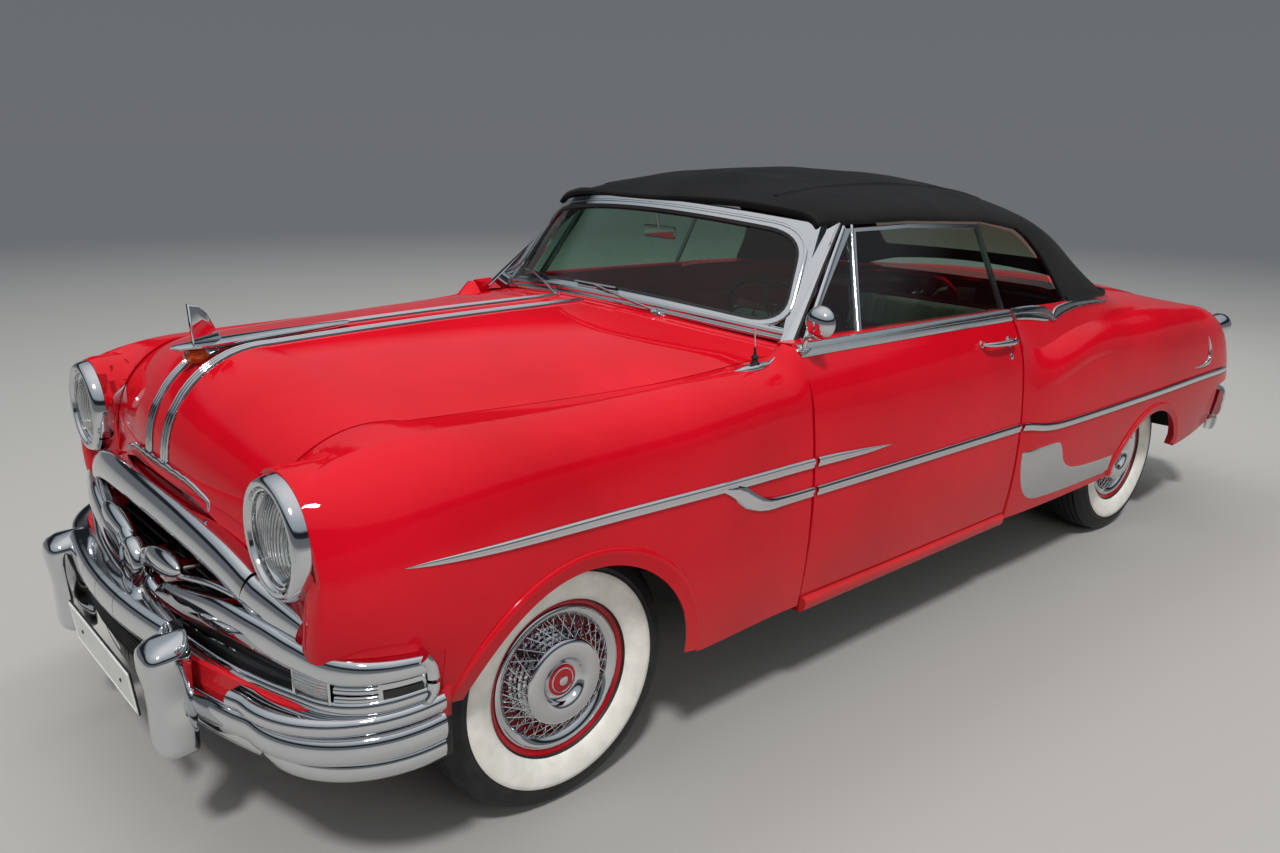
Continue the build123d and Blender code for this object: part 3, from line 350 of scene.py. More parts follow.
def tyre_bmesh():
    bm = bmesh.new()
    outer_bead = [(196, 52), (205, 60), (209, 68), (214, 75)]
    white_wall = [(214, 75), (215, 77.5), (226, 83.5), (240, 88.5), (258, 92), (276, 93), (289, 92),
        (290.5, 90)]
    outer_side = [(290.5, 90), (302, 89.2), (303.5, 90), (306, 90), (307.5, 88.4), (322, 83.5),
        (335, 76.5), (343, 70), (348.5, 62)]
    inner_side = [(348.5, -62), (343, -70), (335, -76.5), (322, -83.5), (305, -88.5), (276, -91),
        (250, -89), (226, -82), (212, -72), (205, -60), (196, -52), (196, 52)]
    turned(bm, outer_bead, 96, 0)
    turned(bm, white_wall, 96, 1)
    turned(bm, outer_side, 96, 0)
    turned(bm, [(348.5, 62)] + tread_line() + [(348.5, -62)], 96, 0)
    turned(bm, inner_side, 96, 0)
    return bm


for corner in wheel_places:
    bm = tyre_bmesh()
    move_to_corner(bm, corner)
    tyre = finish_piece("whitewall_tyre_" + corner, bm, [black_rubber, white_rubber], 50.0,
        body="wheel_" + corner)
    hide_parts("tyre_" + corner)


# Wheels
# Pressed steel wheels in the body's red, under chromed covers: a wide trim ring, crossed wires
# to a stepped drum, and a dished cap with a plain red enamel medallion.
def polished(name, colour, roughness, cloud_scale=8.0, spread=0.03):
    """Plated or polished metal whose gloss is a little uneven."""
    made, tree, shader = new_material(name, colour, Metallic=1.0)
    gloss = mapped(tree, noise(tree, cloud_scale, 5.0), 0.3, 0.75, roughness, roughness + spread)
    tree.links.new(gloss, shader.inputs["Roughness"])
    bump(tree, shader.inputs["Normal"], noise(tree, 14.0, 1.0), 0.10, 0.002)
    return made


chrome = polished("chrome_plate", "DADCDF", 0.035)
bright_steel = polished("polished_stainless_steel", "C9CACB", 0.13, 30.0, 0.08)
gloss_red = coated_steel("red_stove_enamel", "8C0812", "A80C18", 0.2, 9.0, 0.0001)


def rod(bm, start, end, radius, sides=12, material=0, end_radius=None):
    """A round bar or cone between two points, its ends closed."""
    start = Vector(start)
    end = Vector(end)
    made = bmesh.ops.create_cone(bm, cap_ends=True, segments=sides, radius1=radius,
        depth=(end - start).length, radius2=radius if end_radius is None else end_radius,
        matrix=facing((start + end) / 2, end - start))
    for face in {f for v in made["verts"] for f in v.link_faces}:
        face.material_index = material


def steel_wheel(bm):
    rim = [(0, 10), (60, 11), (104, 14), (150, 3), (170, 10), (184, 36), (190, 54), (194, 61), (200, 66),
        (206, 69.5), (211, 68), (213, 64), (211, 59), (205, 56), (203, 40), (203, -40), (205, -56),
        (211, -60), (213, -65), (209, -70), (200, -68), (192, -56), (182, -34), (160, -18), (110, -10),
        (60, -14), (0, -14)]
    turned(bm, rim, 72, 0)


def wheel_cover(bm):
    ring = [(194, 62), (194.5, 65), (191, 68.5), (186, 69), (180, 67), (174, 63.5), (168, 59), (164, 54),
        (162, 47), (164, 44), (170, 48), (180, 55), (190, 60), (194, 62)]
    turned(bm, ring, 96, 1)
    groove = [(188.5, 69.3), (187.5, 70.4), (186.5, 69.3), (187.5, 68), (188.5, 69.3)]
    turned(bm, groove, 96, 1)
    drum = [(0, 12), (126, 12), (127, 24), (121, 28), (122, 38), (117, 41), (118, 52), (113, 55),
        (114, 66), (109, 69), (110, 82), (114, 86), (114.5, 90), (111, 94), (104, 96.5), (92, 97.5),
        (78, 97), (68, 95), (64, 91.5), (60, 84), (55, 78), (50, 75), (46.5, 74.5), (46, 77.5),
        (44.5, 79), (42.5, 78.5)]
    turned(bm, drum, 96, 1)
    turned(bm, [(42.5, 78.5), (38, 80.5), (26, 83), (12, 84.3), (0, 84.6)], 64, 2)
    turned(bm, [(34, 81.0), (33, 82.8), (31.4, 83.2), (30.4, 82.0), (34, 81.0)], 64, 1)
    turned(bm, [(0, 84), (13, 83.5), (13, 86.5), (11, 87.6), (0, 88)], 32, 1)
    wires = 30
    for i in range(wires):
        angle = tau * i / wires
        for lean in (-0.27, 0.27):
            hub = (112.5 * cos(angle), 112.5 * sin(angle), 86.0)
            edge = angle + lean
            rod(bm, hub, (166 * cos(edge), 166 * sin(edge), 55.0), 1.5, 6, 1)
            inner = angle + pi / wires
            foot = (119 * cos(inner), 119 * sin(inner), 42.0)
            edge = inner + lean * 0.8
            rod(bm, foot, (165 * cos(edge), 165 * sin(edge), 47.0), 1.5, 6, 1)


for corner in wheel_places:
    bm = bmesh.new()
    steel_wheel(bm)
    wheel_cover(bm)
    move_to_corner(bm, corner)
    wheel = finish_piece("covered_wheel_" + corner, bm, [gloss_red, chrome, gloss_red], 40.0,
        body="wheel_" + corner)
    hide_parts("wheel_" + corner)


# Sill panels and wheel arch flanges
# A red sill under each door, and the rolled flange that stiffens the edge of every wheel arch.
def surface(*names):
    """Search tree over these CAD nodes, in millimetres."""
    points = []
    faces = []
    for name in names:
        mesh = nodes[name].data
        base = len(points)
        points += [v.co / MM for v in mesh.vertices]
        faces += [[base + i for i in poly.vertices] for poly in mesh.polygons]
    return BVHTree.FromPolygons(points, faces)


def touch(tree, start, towards):
    """Where a line from the start first meets the surface, and the surface's outward normal."""
    towards = Vector(towards).normalized()
    place, normal, _, _ = tree.ray_cast(Vector(start), towards)
    if place is None:
        raise ValueError(f"nothing is met from {start} towards {towards}")
    return place, normal if normal.dot(towards) < 0 else -normal


def side_touch(tree, x, z):
    return touch(tree, (x, 1400.0, z), (0, -1, 0))


def even_steps(first, last, parts):
    """Values from first to last in equal parts."""
    return [first + (last - first) * k / parts for k in range(parts + 1)]


def curve_through(points, parts):
    """A smooth line through the points, each span cut into this many parts."""
    points = [Vector(p) for p in points]
    points = [points[0]] + points + [points[-1]]
    line = []
    for before, start, end, after in zip(points, points[1:], points[2:], points[3:]):
        for k in range(parts):
            t = k / parts
            line.append(0.5 * ((2 * start) + (end - before) * t
                + (2 * before - 5 * start + 4 * end - after) * t * t
                + (3 * start - before - 3 * end + after) * t * t * t))
    return line + [points[-1]]


def arc_points(a, b, c, parts):
    """Points along the arc through three places in a plane."""
    (ax, ay), (bx, by), (cx, cy) = a, b, c
    d = 2 * (ax * (by - cy) + bx * (cy - ay) + cx * (ay - by))
    aa = ax * ax + ay * ay
    bb = bx * bx + by * by
    cc = cx * cx + cy * cy
    ux = (aa * (by - cy) + bb * (cy - ay) + cc * (ay - by)) / d
    uy = (aa * (cx - bx) + bb * (ax - cx) + cc * (bx - ax)) / d
    radius = hypot(ax - ux, ay - uy)
    start = atan2(ay - uy, ax - ux)
    end = atan2(cy - uy, cx - ux)
    turn = (end - start + pi) % tau - pi
    return [(ux + radius * cos(start + turn * i / parts), uy + radius * sin(start + turn * i / parts))
        for i in range(parts + 1)]


def drawn(bm, stations, closed=True, material=0):
    """A bar whose section is extruded from station to station, its ends closed."""
    first = [bm.verts.new(p) for p in stations[0]]
    count = len(first)
    spans = count if closed else count - 1
    ring = first
    edges = [bm.edges.new((ring[i], ring[(i + 1) % count])) for i in range(spans)]
    first_edges = list(edges)
    faces = []
    for station in stations[1:]:
        made = bmesh.ops.extrude_edge_only(bm, edges=edges)["geom"]
        new_verts = {v for v in made if isinstance(v, bmesh.types.BMVert)}
        faces += [f for f in made if isinstance(f, bmesh.types.BMFace)]
        ring = [next(e.other_vert(v) for e in v.link_edges if e.other_vert(v) in new_verts) for v in ring]
        for vert, place in zip(ring, station):
            vert.co = place
        edges = [bm.edges.get((ring[i], ring[(i + 1) % count])) for i in range(spans)]
    if closed:
        for rim in (first_edges, edges):
            faces += bmesh.ops.contextual_create(bm, geom=rim)["faces"]
    for face in faces:
        face.material_index = material
    return faces


def sheet(bm, rows, thickness, material=0, settle=False):
    """Pressed sheet drawn through rows of places, then thickened; settle evens its normals."""
    faces = drawn(bm, rows, False, material)
    if settle:
        bmesh.ops.recalc_face_normals(bm, faces=faces)
    for part in bmesh.ops.solidify(bm, geom=faces, thickness=thickness)["geom"]:
        if isinstance(part, bmesh.types.BMFace):
            part.material_index = material


def tangents(points):
    last = len(points) - 1
    return [(points[min(i + 1, last)] - points[max(i - 1, 0)]).normalized() for i in range(last + 1)]


def moulding(bm, touched, section, sizes=None, material=0):
    """A strip along touched places: the section's pairs are across the strip and out of the
    surface, and sizes scale both of them at each place."""
    points = [place for place, _ in touched]
    stations = []
    for i, (along, (place, normal)) in enumerate(zip(tangents(points), touched)):
        across = normal.cross(along).normalized()
        wide, tall = sizes[i] if sizes else (1.0, 1.0)
        stations.append([place + across * a * wide + normal * o * (tall if o > 0 else 1.0)
            for a, o in section])
    return drawn(bm, stations, True, material)


def half_round(width, height, sink=2.0, steps=8):
    """Section of a rounded strip: across and out pairs, its back sunk in the surface."""
    arc = [(width / 2 * cos(pi * i / steps), height * sin(pi * i / steps)) for i in range(steps + 1)]
    return [(width / 2, -sink)] + arc + [(-width / 2, -sink)]


def bar(bm, path, section, out, material=0):
    """A bar along a free path. Section pairs are up and out, out being the given direction
    turned square to the path at each place."""
    stations = []
    for along, place in zip(tangents(path), path):
        outward = Vector(out)
        outward = (outward - along * outward.dot(along)).normalized()
        up = outward.cross(along).normalized()
        if up.z < 0:
            up = -up
        stations.append([place + up * u + outward * o for u, o in section])
    return drawn(bm, stations, True, material)


bm = bmesh.new()
sill_section = [(366, 760), (366, 918), (361, 927), (350, 929), (330, 924), (318, 912), (316, 898),
    (316, 760)]
drawn(bm, [[(x, y, z) for z, y in sill_section] for x in (-262, 200, 866)])
finish_pair("sill_panel", bm, [red_paint])

flange = [(-2, -14), (-2, 2), (1, 6.5), (7, 9), (15, 7.5), (26, 4), (38, 1.2), (46, -0.5), (46, -5)]
arch_radius = 387.0
fender_side = surface("front_fender_left")
bm = bmesh.new()
arch = []
for i in range(73):
    angle = radians(-1.5 + 181.5 * i / 72)
    x = front_axle_x + arch_radius * cos(angle)
    z = tyre_radius + arch_radius * sin(angle)
    probe_x = front_axle_x + (arch_radius + 8) * cos(angle)
    probe_z = max(tyre_radius + (arch_radius + 8) * sin(angle), 352)
    place = fender_side.ray_cast(Vector((probe_x, 1400.0, probe_z)), Vector((0, -1, 0)))[0]
    if place:
        arch.append((Vector((x, place.y, z)), Vector((0, 1, 0))))
moulding(bm, arch, [(-a, o) for a, o in flange])
finish_pair("front_arch_flange", bm, [red_paint])

quarter_side = surface("rear_quarter_left")
bm = bmesh.new()
span = tyre_radius * 0.95
mouth_top = 612.0
mouth = [(rear_axle_x + span, 350.0), (rear_axle_x + span, 375.0), (rear_axle_x + span, 400.0)]
drop = mouth_top - 400.0
bow = (span * span + drop * drop) / (2 * drop)
sweep = asin(span / bow)
for i in range(1, 48):
    angle = sweep - 2 * sweep * i / 48
    mouth.append((rear_axle_x + bow * sin(angle), mouth_top - bow + bow * cos(angle)))
mouth += [(rear_axle_x - span, 400.0), (rear_axle_x - span, 385.0), (rear_axle_x - span, 368.0)]
arch = []
for x, z in mouth:
    out_x = x + (7 if x > rear_axle_x else -7)
    skin_y = side_touch(quarter_side, out_x, max(z + 6, 372))[0].y
    arch.append((Vector((x, skin_y, z)), Vector((0, 1, 0))))
moulding(bm, arch, [(-a * 0.8, o * 0.9) for a, o in flange])
finish_pair("rear_arch_flange", bm, [red_paint])


# Fender noses
# The red face below each headlamp, which turns the corner from the fender's side to the panel
# behind the grille, and the strip of fender that runs on behind the wing bar.
def fender_row(x):
    """Three places up the fender's side at x: y and z of each, between the drawn sections."""
    rows = ((2335, 800, 560, 868, 760, 835, 900), (2200, 850, 500, 915, 760, 890, 905),
        (1950, 895, 420, 938, 740, 915, 915))
    ahead, behind = (rows[0], rows[1]) if x > 2200 else (rows[1], rows[2])
    part = (x - behind[0]) / (ahead[0] - behind[0])
    return [b + (a - b) * part for a, b in zip(ahead[1:], behind[1:])]


def fender_y(x, z):
    """How far out the fender's side is at x and z."""
    y0, z0, y1, z1, y2, z2 = fender_row(x)
    line = arc_points((y0, z0), (y1, z1), (y2, z2), 24)
    if z <= line[0][1]:
        return line[0][0] - (line[0][1] - z) * 0.28
    for (ya, za), (yb, zb) in zip(line, line[1:]):
        if za <= z <= zb:
            return ya + (yb - ya) * (z - za) / (zb - za)
    return line[-1][0]


bm = bmesh.new()
rows = []
for z, pull in ((628, 2), (650, 0), (690, 0), (735, 2), (775, 10), (806, 22)):
    side = fender_y(2330, z)
    corner = [(2284, fender_y(2284, z) + 1.6, z), (2310, fender_y(2310, z) + 1.8, z),
        (2331, side + 0.5, z), (2343 - pull * 0.5, side - 12, z), (2349 - pull, side - 34, z),
        (2347 - pull, side - 62, z), (2336 - pull, side - 90, z), (2312 - pull, 728, z),
        (2286 - pull, 650, z), (2262 - pull, 590, z)]
    rows.append(curve_through(corner, 5))
sheet(bm, rows, 3.0, settle=True)
strip = []
for k in range(15):
    x = 2076 + 250 * k / 14
    low = 470 + 70 * k / 14
    strip.append([(x, fender_y(x, z) + 0.6, z) for z in even_steps(low, 616, 7)])
sheet(bm, strip, 3.0)
finish_pair("fender_nose", bm, [red_paint], 50.0)


# Side spear
# A chromed die-cast moulding along each side: it starts in a point behind the headlamp, forks
# before the door, and the lower branch runs back to the tail lamp.
side_skin = surface("front_fender_left", "door_left", "rear_quarter_left")
spear_section = [(-0.5, -1.5), (-0.5, 0.15), (-0.42, 0.55), (-0.30, 0.62), (-0.16, 0.66), (0.02, 0.95),
    (0.14, 1.0), (0.30, 0.92), (0.44, 0.62), (0.5, 0.2), (0.5, -1.5)]


def raised(section, height):
    """A section of unit height brought to this height, its sunk places left where they are."""
    return [(across, out * height if out > 0 else out) for across, out in section]


def spear_part(bm, line, widths, rise, step=26.0):
    """A stretch of the spear along (x, z) points, with the width at each point."""
    dense = curve_through([(x, z, w) for (x, z), w in zip(line, widths)], 12)
    kept = [dense[0]]
    for one in dense[1:-1]:
        if (one.xy - kept[-1].xy).length > step:
            kept.append(one)
    kept.append(dense[-1])
    touched = [side_touch(side_skin, x, z) for x, z, _ in kept]
    sizes = [(w, max(min(w / 26.0, 1.0), 0.15)) for _, _, w in kept]
    moulding(bm, touched, raised(spear_section, rise), sizes)


seam = 882.0
bm = bmesh.new()
spear_part(bm, [(2170, 823), (2100, 822), (1900, 817), (1540, 812), (1250, 806), (1080, 802),
    (seam + 4, 799)], [1, 14, 25, 30, 31, 31, 31], 13)
spear_part(bm, [(1262, 800), (1200, 782), (1150, 748), (1089, 722), (1000, 716), (seam + 4, 714)],
    [6, 46, 52, 40, 33, 32], 12)
finish_pair("fender_spear", bm, [chrome], 30.0)
bm = bmesh.new()
spear_part(bm, [(seam - 14, 799), (760, 796), (620, 790), (505, 785)], [31, 28, 18, 1], 13)
spear_part(bm, [(seam - 14, 713), (600, 711), (200, 707), (-256, 703)], [32, 32, 32, 32], 12)
finish_pair("door_spear", bm, [chrome], 30.0, bodies=on_doors)
bm = bmesh.new()
spear_part(bm, [(-280, 702), (-330, 696), (-420, 680), (-522, 672), (-700, 670), (-1200, 666),
    (-1800, 662), (-2150, 650), (-2235, 644)], [32, 31, 31, 31, 31, 31, 31, 30, 24], 12)
finish_pair("quarter_spear", bm, [chrome], 30.0)


# Gravel guards
# A polished steel plate on the front of each rear fender, against stones: tall behind the door,
# stepped down to a tongue that ends at the wheel arch.
bm = bmesh.new()
guard_edge = curve_through([(-300, 600), (-420, 602), (-535, 600), (-570, 575), (-605, 515), (-665, 478),
    (-750, 462), (-880, 452), (-1046, 446)], 5)
guard_foot = curve_through([(-300, 600), (-306, 540), (-330, 470), (-372, 420), (-440, 392), (-600, 382),
    (-760, 378), (-900, 376), (-1046, 374)], 5)
stations = []
for top, low in zip(guard_edge, guard_foot):
    column = []
    for i in range(9):
        x, z = (Vector(low[:2]) * (1 - i / 8) + Vector(top[:2]) * (i / 8))
        place, normal = side_touch(quarter_side, x, z)
        rim = 0.6 if i in (0, 8) else 2.6
        column.append(place + normal * rim)
    stations.append(column)
sheet(bm, stations, 1.6, settle=True)
finish_pair("gravel_guard", bm, [bright_steel], 60.0)


# Belt mouldings
# Ribbed stainless strips under the side windows. On the quarters they widen to a point and then
# curl round the foot of the fabric top.
belt_section = [(-0.5, -1.5), (-0.5, 0.3), (-0.38, 0.8), (-0.2, 0.55), (-0.02, 0.6), (0.02, 0.95),
    (0.2, 1.0), (0.4, 0.8), (0.5, 0.3), (0.5, -1.5)]


def belt(bm, line, widths, rise, tree):
    dense = curve_through([(x, z, w) for (x, z), w in zip(line, widths)], 8)
    touched = [side_touch(tree, x, z) for x, z, _ in dense]
    moulding(bm, touched, raised(belt_section, rise), [(w, 1.0) for _, _, w in dense])


door_skin = surface("door_left")
bm = bmesh.new()
belt(bm, [(862, 1102), (700, 1104), (400, 1104), (100, 1102), (-256, 1096)], [44, 44, 44, 44, 44], 9,
    door_skin)
finish_pair("door_belt", bm, [bright_steel], 26.0, bodies=on_doors)
bm = bmesh.new()
belt(bm, [(-278, 1095), (-360, 1092), (-440, 1086), (-505, 1076), (-548, 1062), (-572, 1048)],
    [44, 48, 54, 54, 36, 3], 9, quarter_side)
belt(bm, [(-556, 1052), (-590, 1070), (-650, 1080), (-760, 1086), (-880, 1082), (-990, 1074),
    (-1090, 1062)], [20, 44, 40, 32, 28, 24, 4], 9, quarter_side)
finish_pair("quarter_belt", bm, [bright_steel], 26.0)


# Front fenders
# The fender shells with their inner ledges brought level with the hood's edge, so that the seam
# runs flush, and strips that close each one round the headlamp.
def clamp(value):
    """The value held between 0 and 1."""
    return min(max(value, 0.0), 1.0)


def hood_edge(x):
    """Half width of the hood at x."""
    plan = ((795, 752), (1300, 715), (2000, 645), (2200, 585), (2420, 500))
    for (x0, y0), (x1, y1) in zip(plan, plan[1:]):
        if x <= x1:
            return y0 + (y1 - y0) * max(x - x0, 0) / (x1 - x0)
    return plan[-1][1]


hood_skin = surface("hood")
lamp_y = 696.0
lamp_z = 867.0
bm = bmesh.new()
bm.from_mesh(nodes["front_fender_left"].data)
bmesh.ops.scale(bm, vec=(1 / MM, 1 / MM, 1 / MM), verts=bm.verts)
bmesh.ops.remove_doubles(bm, verts=bm.verts, dist=0.01)
for cut_y in (560, 580, 600, 625, 650, 680, 710, 740, 770, 800):
    bmesh.ops.bisect_plane(bm, geom=bm.verts[:] + bm.edges[:] + bm.faces[:], plane_co=(0, cut_y, 0),
        plane_no=(0, 1, 0))
for cut_x in [895, 925, 960] + list(range(1000, 2330, 70)):
    upper = [f for f in bm.faces if f.calc_center_median().z > 950]
    upper_parts = upper + list({e for f in upper for e in f.edges}) + list({v for f in upper
        for v in f.verts})
    bmesh.ops.bisect_plane(bm, geom=upper_parts, plane_co=(cut_x, 0, 0), plane_no=(1, 0, 0))
shifts = {}
for vert in bm.verts:
    x, y, z = vert.co
    inner = hood_edge(x) + 12
    if z > 960 and y < 800 and x > 790:
        ledge = fender_side.ray_cast(Vector((min(x, 2331), inner + 3, 1500)), Vector((0, 0, -1)))[0]
        beside = hood_skin.ray_cast(Vector((min(max(x, 835), 2296), inner - 17, 1500)),
            Vector((0, 0, -1)))[0]
        if ledge and beside:
            t = clamp((800 - y) / (800 - inner))
            drop = max(beside.z - ledge.z, -105.0)
            lowered = z + drop * t * t * (3 - 2 * t)
            beside_lamp = clamp((x - 2110) / 110)
            rim_top = lamp_z + sqrt(max(150 ** 2 - (y - lamp_y) ** 2, 0.0))
            held = min(z, lowered + (rim_top - lowered) * beside_lamp)
            shifts[vert] = max(lowered, held) - z
for vert, shift in shifts.items():
    vert.co.z += shift
for vert in bm.verts:
    x, y, z = vert.co
    back = clamp((955 - x) / 78)
    outboard = clamp((y - 756) / 40)
    upper_part = clamp((z - 940) / 110)
    vert.co.z += 42 * back * back * (3 - 2 * back) * outboard * upper_part
front_top = BVHTree.FromBMesh(bm)
lamp_hole = 139.0
below_lamp = []
above_lamp = []
for y in even_steps(790, 549, 24):
    top = front_top.ray_cast(Vector((2326, y, 1500)), Vector((0, 0, -1)))[0]
    top_z = (top.z if top else 900) - 6
    x = 2326 - 18 * max((692 - y) / 143, 0.0) ** 2
    half = sqrt(max(lamp_hole ** 2 - (y - lamp_y) ** 2, 0.0))
    below_lamp.append([(x, y, 615 + (lamp_z - half - 615) * j / 5) for j in range(6)])
    above_lamp.append([(x, y, lamp_z + half + max(top_z - lamp_z - half, 0.5) * j / 3) for j in range(4)])
round_lamp = drawn(bm, below_lamp, False) + drawn(bm, above_lamp, False)
bmesh.ops.solidify(bm, geom=round_lamp, thickness=3.0)
left_fender, right_fender = finish_pair("fender_shell", bm, [red_paint], 42.0)
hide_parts("front_fender_left")
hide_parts("front_fender_right")


# Hood lip
# The lower edge of the hood, carried on down over the nose panel to the crown bar.
bm = bmesh.new()
lip_rows = []
for y in even_steps(-548, 548, 44):
    edge_z = 867 + 9 * max(abs(y) - 400, 0) / 150
    low = 838 - 66 * clamp((abs(y) - 180) / 270)
    row = []
    for z, out in ((edge_z + 9, -3.5), (edge_z + 4, -0.4), (edge_z, 0.8)):
        row.append(Vector((touch(hood_skin, (2700, y, z), (-1, 0, 0))[0].x + out, y, z)))
    row += [row[-1] + Vector((0.14 * (edge_z - low), 0, low - edge_z)) * (j / 4) for j in range(1, 5)]
    lip_rows.append(row)
sheet(bm, lip_rows, 2.0)
finish_piece("hood_lip", bm, [red_paint], 42.0, body="hood")


# Hood streaks
# Two bands of three chrome ribs each run back over the hood from the badge panel, and a red
# stripe shows between them.
rib = half_round(7.0, 6.5, 2.0, 6)
for side, name in ((1, "left"), (-1, "right")):
    bm = bmesh.new()
    for lane in (-16.0, 0.0, 16.0):
        track = []
        for t in even_steps(0, 1, 63):
            lateral = side * (58 + 8 * t) + lane * (1.0 - 0.25 * t)
            if t < 0.3:
                lift = 872 + (1010 - 872) * t / 0.3
                track.append(touch(hood_skin, (2700, lateral, lift), (-1, 0, 0)))
            else:
                across = (t - 0.3) / 0.7
                x = 2292 - (2292 - 1030) * across
                track.append(touch(hood_skin, (x + 120 * (1 - across), lateral, 1400),
                    (-120 * (1 - across), 0, -400)))
        shrink = [(max(min((1 - t) * 9, 1.0), 0.15), 1.0) for t in even_steps(0, 1, 63)]
        moulding(bm, track, rib, shrink)
        # Black strip under each band's ribs: painted shade in the gaps between the ribs.
        if lane == 0.0:
            moulding(bm, track, [(-23, -1), (-23, 0.8), (23, 0.8), (23, -1)], shrink, 1)
    finish_piece("hood_streak_" + name, bm, [chrome, enamel_and_painted_shade], 40.0, body="hood")


# Hood ornament
# A long low chromed blade with an upright fin, over an amber glass nose. It is a plain shape.
def tapered_block(bm, sections, material=0):
    """A solid drawn through upright sections: x, low z, high z and half width of each."""
    stations = []
    for x, low, high, half in sections:
        ring = []
        for i in range(12):
            angle = tau * (i + 0.5) / 12
            ring.append((x, half * cos(angle), (low + high) / 2 + (high - low) / 2 * sin(angle)))
        stations.append(ring)
    return drawn(bm, stations, True, material)


amber_glass, amber_tree, amber_shader = new_material("amber_glass", Roughness=0.08,
    Transmission_Weight=0.55, Coat_Weight=1.0)
amber_tree.links.new(toned(amber_tree, noise(amber_tree, 60.0), ((0.0, "D84A06"), (1.0, "F2701A"))),
    amber_shader.inputs["Base Color"])
bm = bmesh.new()
tapered_block(bm, [(2302, 1150, 1156, 5), (2290, 1146, 1160, 26), (2240, 1146, 1164, 44),
    (2160, 1150, 1168, 44), (2060, 1154, 1172, 32), (1930, 1160, 1175, 22), (1826, 1166, 1176, 15),
    (1815, 1169, 1174, 6)])
blade_pedestal = [(2222, 1108, 1152, 20), (2190, 1118, 1152, 26), (2120, 1132, 1156, 24),
    (1990, 1142, 1160, 16), (1850, 1154, 1170, 8)]
tapered_block(bm, blade_pedestal)
fin = [(2248, 1160), (2252, 1262), (2226, 1256), (2205, 1232), (2172, 1162)]
for flat in (-1, 1):
    face = [(x, flat * 5.0, z) for x, z in fin]
    ridge = [(x + (2210 - x) * 0.12, flat * 6.5, z + (1200 - z) * 0.1) for x, z in fin]
    drawn(bm, [face, ridge])
drawn(bm, [[(x, -5.0, z) for x, z in fin], [(x, 5.0, z) for x, z in fin]])
tapered_block(bm, [(2272, 1122, 1136, 8), (2262, 1112, 1146, 24), (2236, 1106, 1148, 28),
    (2212, 1112, 1146, 20), (2202, 1124, 1138, 8)], 1)
finish_piece("hood_ornament", bm, [chrome, amber_glass], 30.0, body="hood")


# Badge panel
# A wide scalloped plate with a chrome border and a bare red field, on the nose of the hood.
field_half = 300.0


def badge_edge():
    """Upper and lower edge of the plate as lateral and height pairs."""
    upper = []
    lower = []
    for i in range(33):
        t = i / 32
        lateral = -field_half + 2 * field_half * t
        far = abs(lateral) / field_half
        droop = 22 * far ** 1.7
        crest = 874 - droop - 16 * max(far - 0.72, 0) / 0.28
        if far < 0.66:
            crest += 3.5 * abs(sin(far / 0.66 * pi * 3.5))
        upper.append((lateral, crest))
        lower.append((lateral, 836 - droop))
    return upper, lower


def on_nose(lateral, lift, out):
    place, normal = touch(hood_skin, (2700, lateral, max(lift, 866)), (-1, 0, 0))
    return Vector((place.x, lateral, lift)) + Vector((normal.x, normal.y,
        max(normal.z, 0))).normalized() * out


bm = bmesh.new()
upper, lower = badge_edge()
stations = []
for (y0, z0), (y1, z1) in zip(upper, lower):
    stations.append([on_nose(y0, z0 + (z1 - z0) * k / 4, 4.5) for k in range(5)])
sheet(bm, stations, 3.0, 1, True)
rim_touched = [(on_nose(y, z, 5.5), Vector((1, 0, 0.15))) for y, z in [lower[0]] + upper + [lower[-1]]]
moulding(bm, rim_touched, half_round(14.0, 6.0, 3.0, 6))
finish_piece("badge_panel", bm, [chrome, gloss_red], 40.0, body="hood")


# Crown bar
# The heavy chromed bar over the grille: a middle casting, and at each end a foot that drops to
# the wing bar. The joint shows as a thin line.
def d_section(tall, deep, crest=0.0, steps=12):
    """A rounded face with a flat back, as up and out pairs. The crest moves the bulge up."""
    face = []
    for i in range(steps + 1):
        angle = -pi / 2 + pi * i / steps
        lift = sin(angle) * tall / 2
        face.append((lift + crest * cos(angle), -deep * 0.45 + deep * 0.45 * cos(angle) ** 0.75
            if cos(angle) > 0.001 else -deep * 0.45))
    return [(-tall / 2, -deep)] + face + [(tall / 2, -deep)]


crown_path = curve_through([(2345, -745, 648), (2380, -600, 703), (2402, -450, 756), (2416, -250, 784),
    (2421, 0, 792), (2416, 250, 784), (2402, 450, 756), (2380, 600, 703), (2345, 745, 648)], 12)
bm = bmesh.new()
middle = [p for p in crown_path if abs(p.y) < 560]
joint = [Vector((2385.6, 570, 716.6)), Vector((2385.0, 573, 715.4))]
middle = [Vector((joint[0].x, -570, joint[0].z))] + middle + [joint[0]]
bar(bm, middle, d_section(84, 56, 3.0), (1, 0, 0.32))
for side in (-1, 1):
    foot = [p for p in crown_path if p.y * side > 584]
    if side < 0:
        foot.reverse()
    foot = [Vector((joint[1].x, side * joint[1].y, joint[1].z))] + foot
    count = len(foot) - 1
    rings = []
    for i, (along, place) in enumerate(zip(tangents(foot), foot)):
        outward = Vector((1, 0, 0.32 - 0.25 * i / count))
        outward = (outward - along * outward.dot(along)).normalized()
        up = outward.cross(along).normalized()
        up = up if up.z > 0 else -up
        section = d_section(84 + 18 * (i / count), 56, 3.0)
        rings.append([place + up * u + outward * o for u, o in section])
    drawn(bm, rings)
crown = finish_piece("crown_bar_chrome", bm, [chrome], 45.0)
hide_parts("crown_bar")


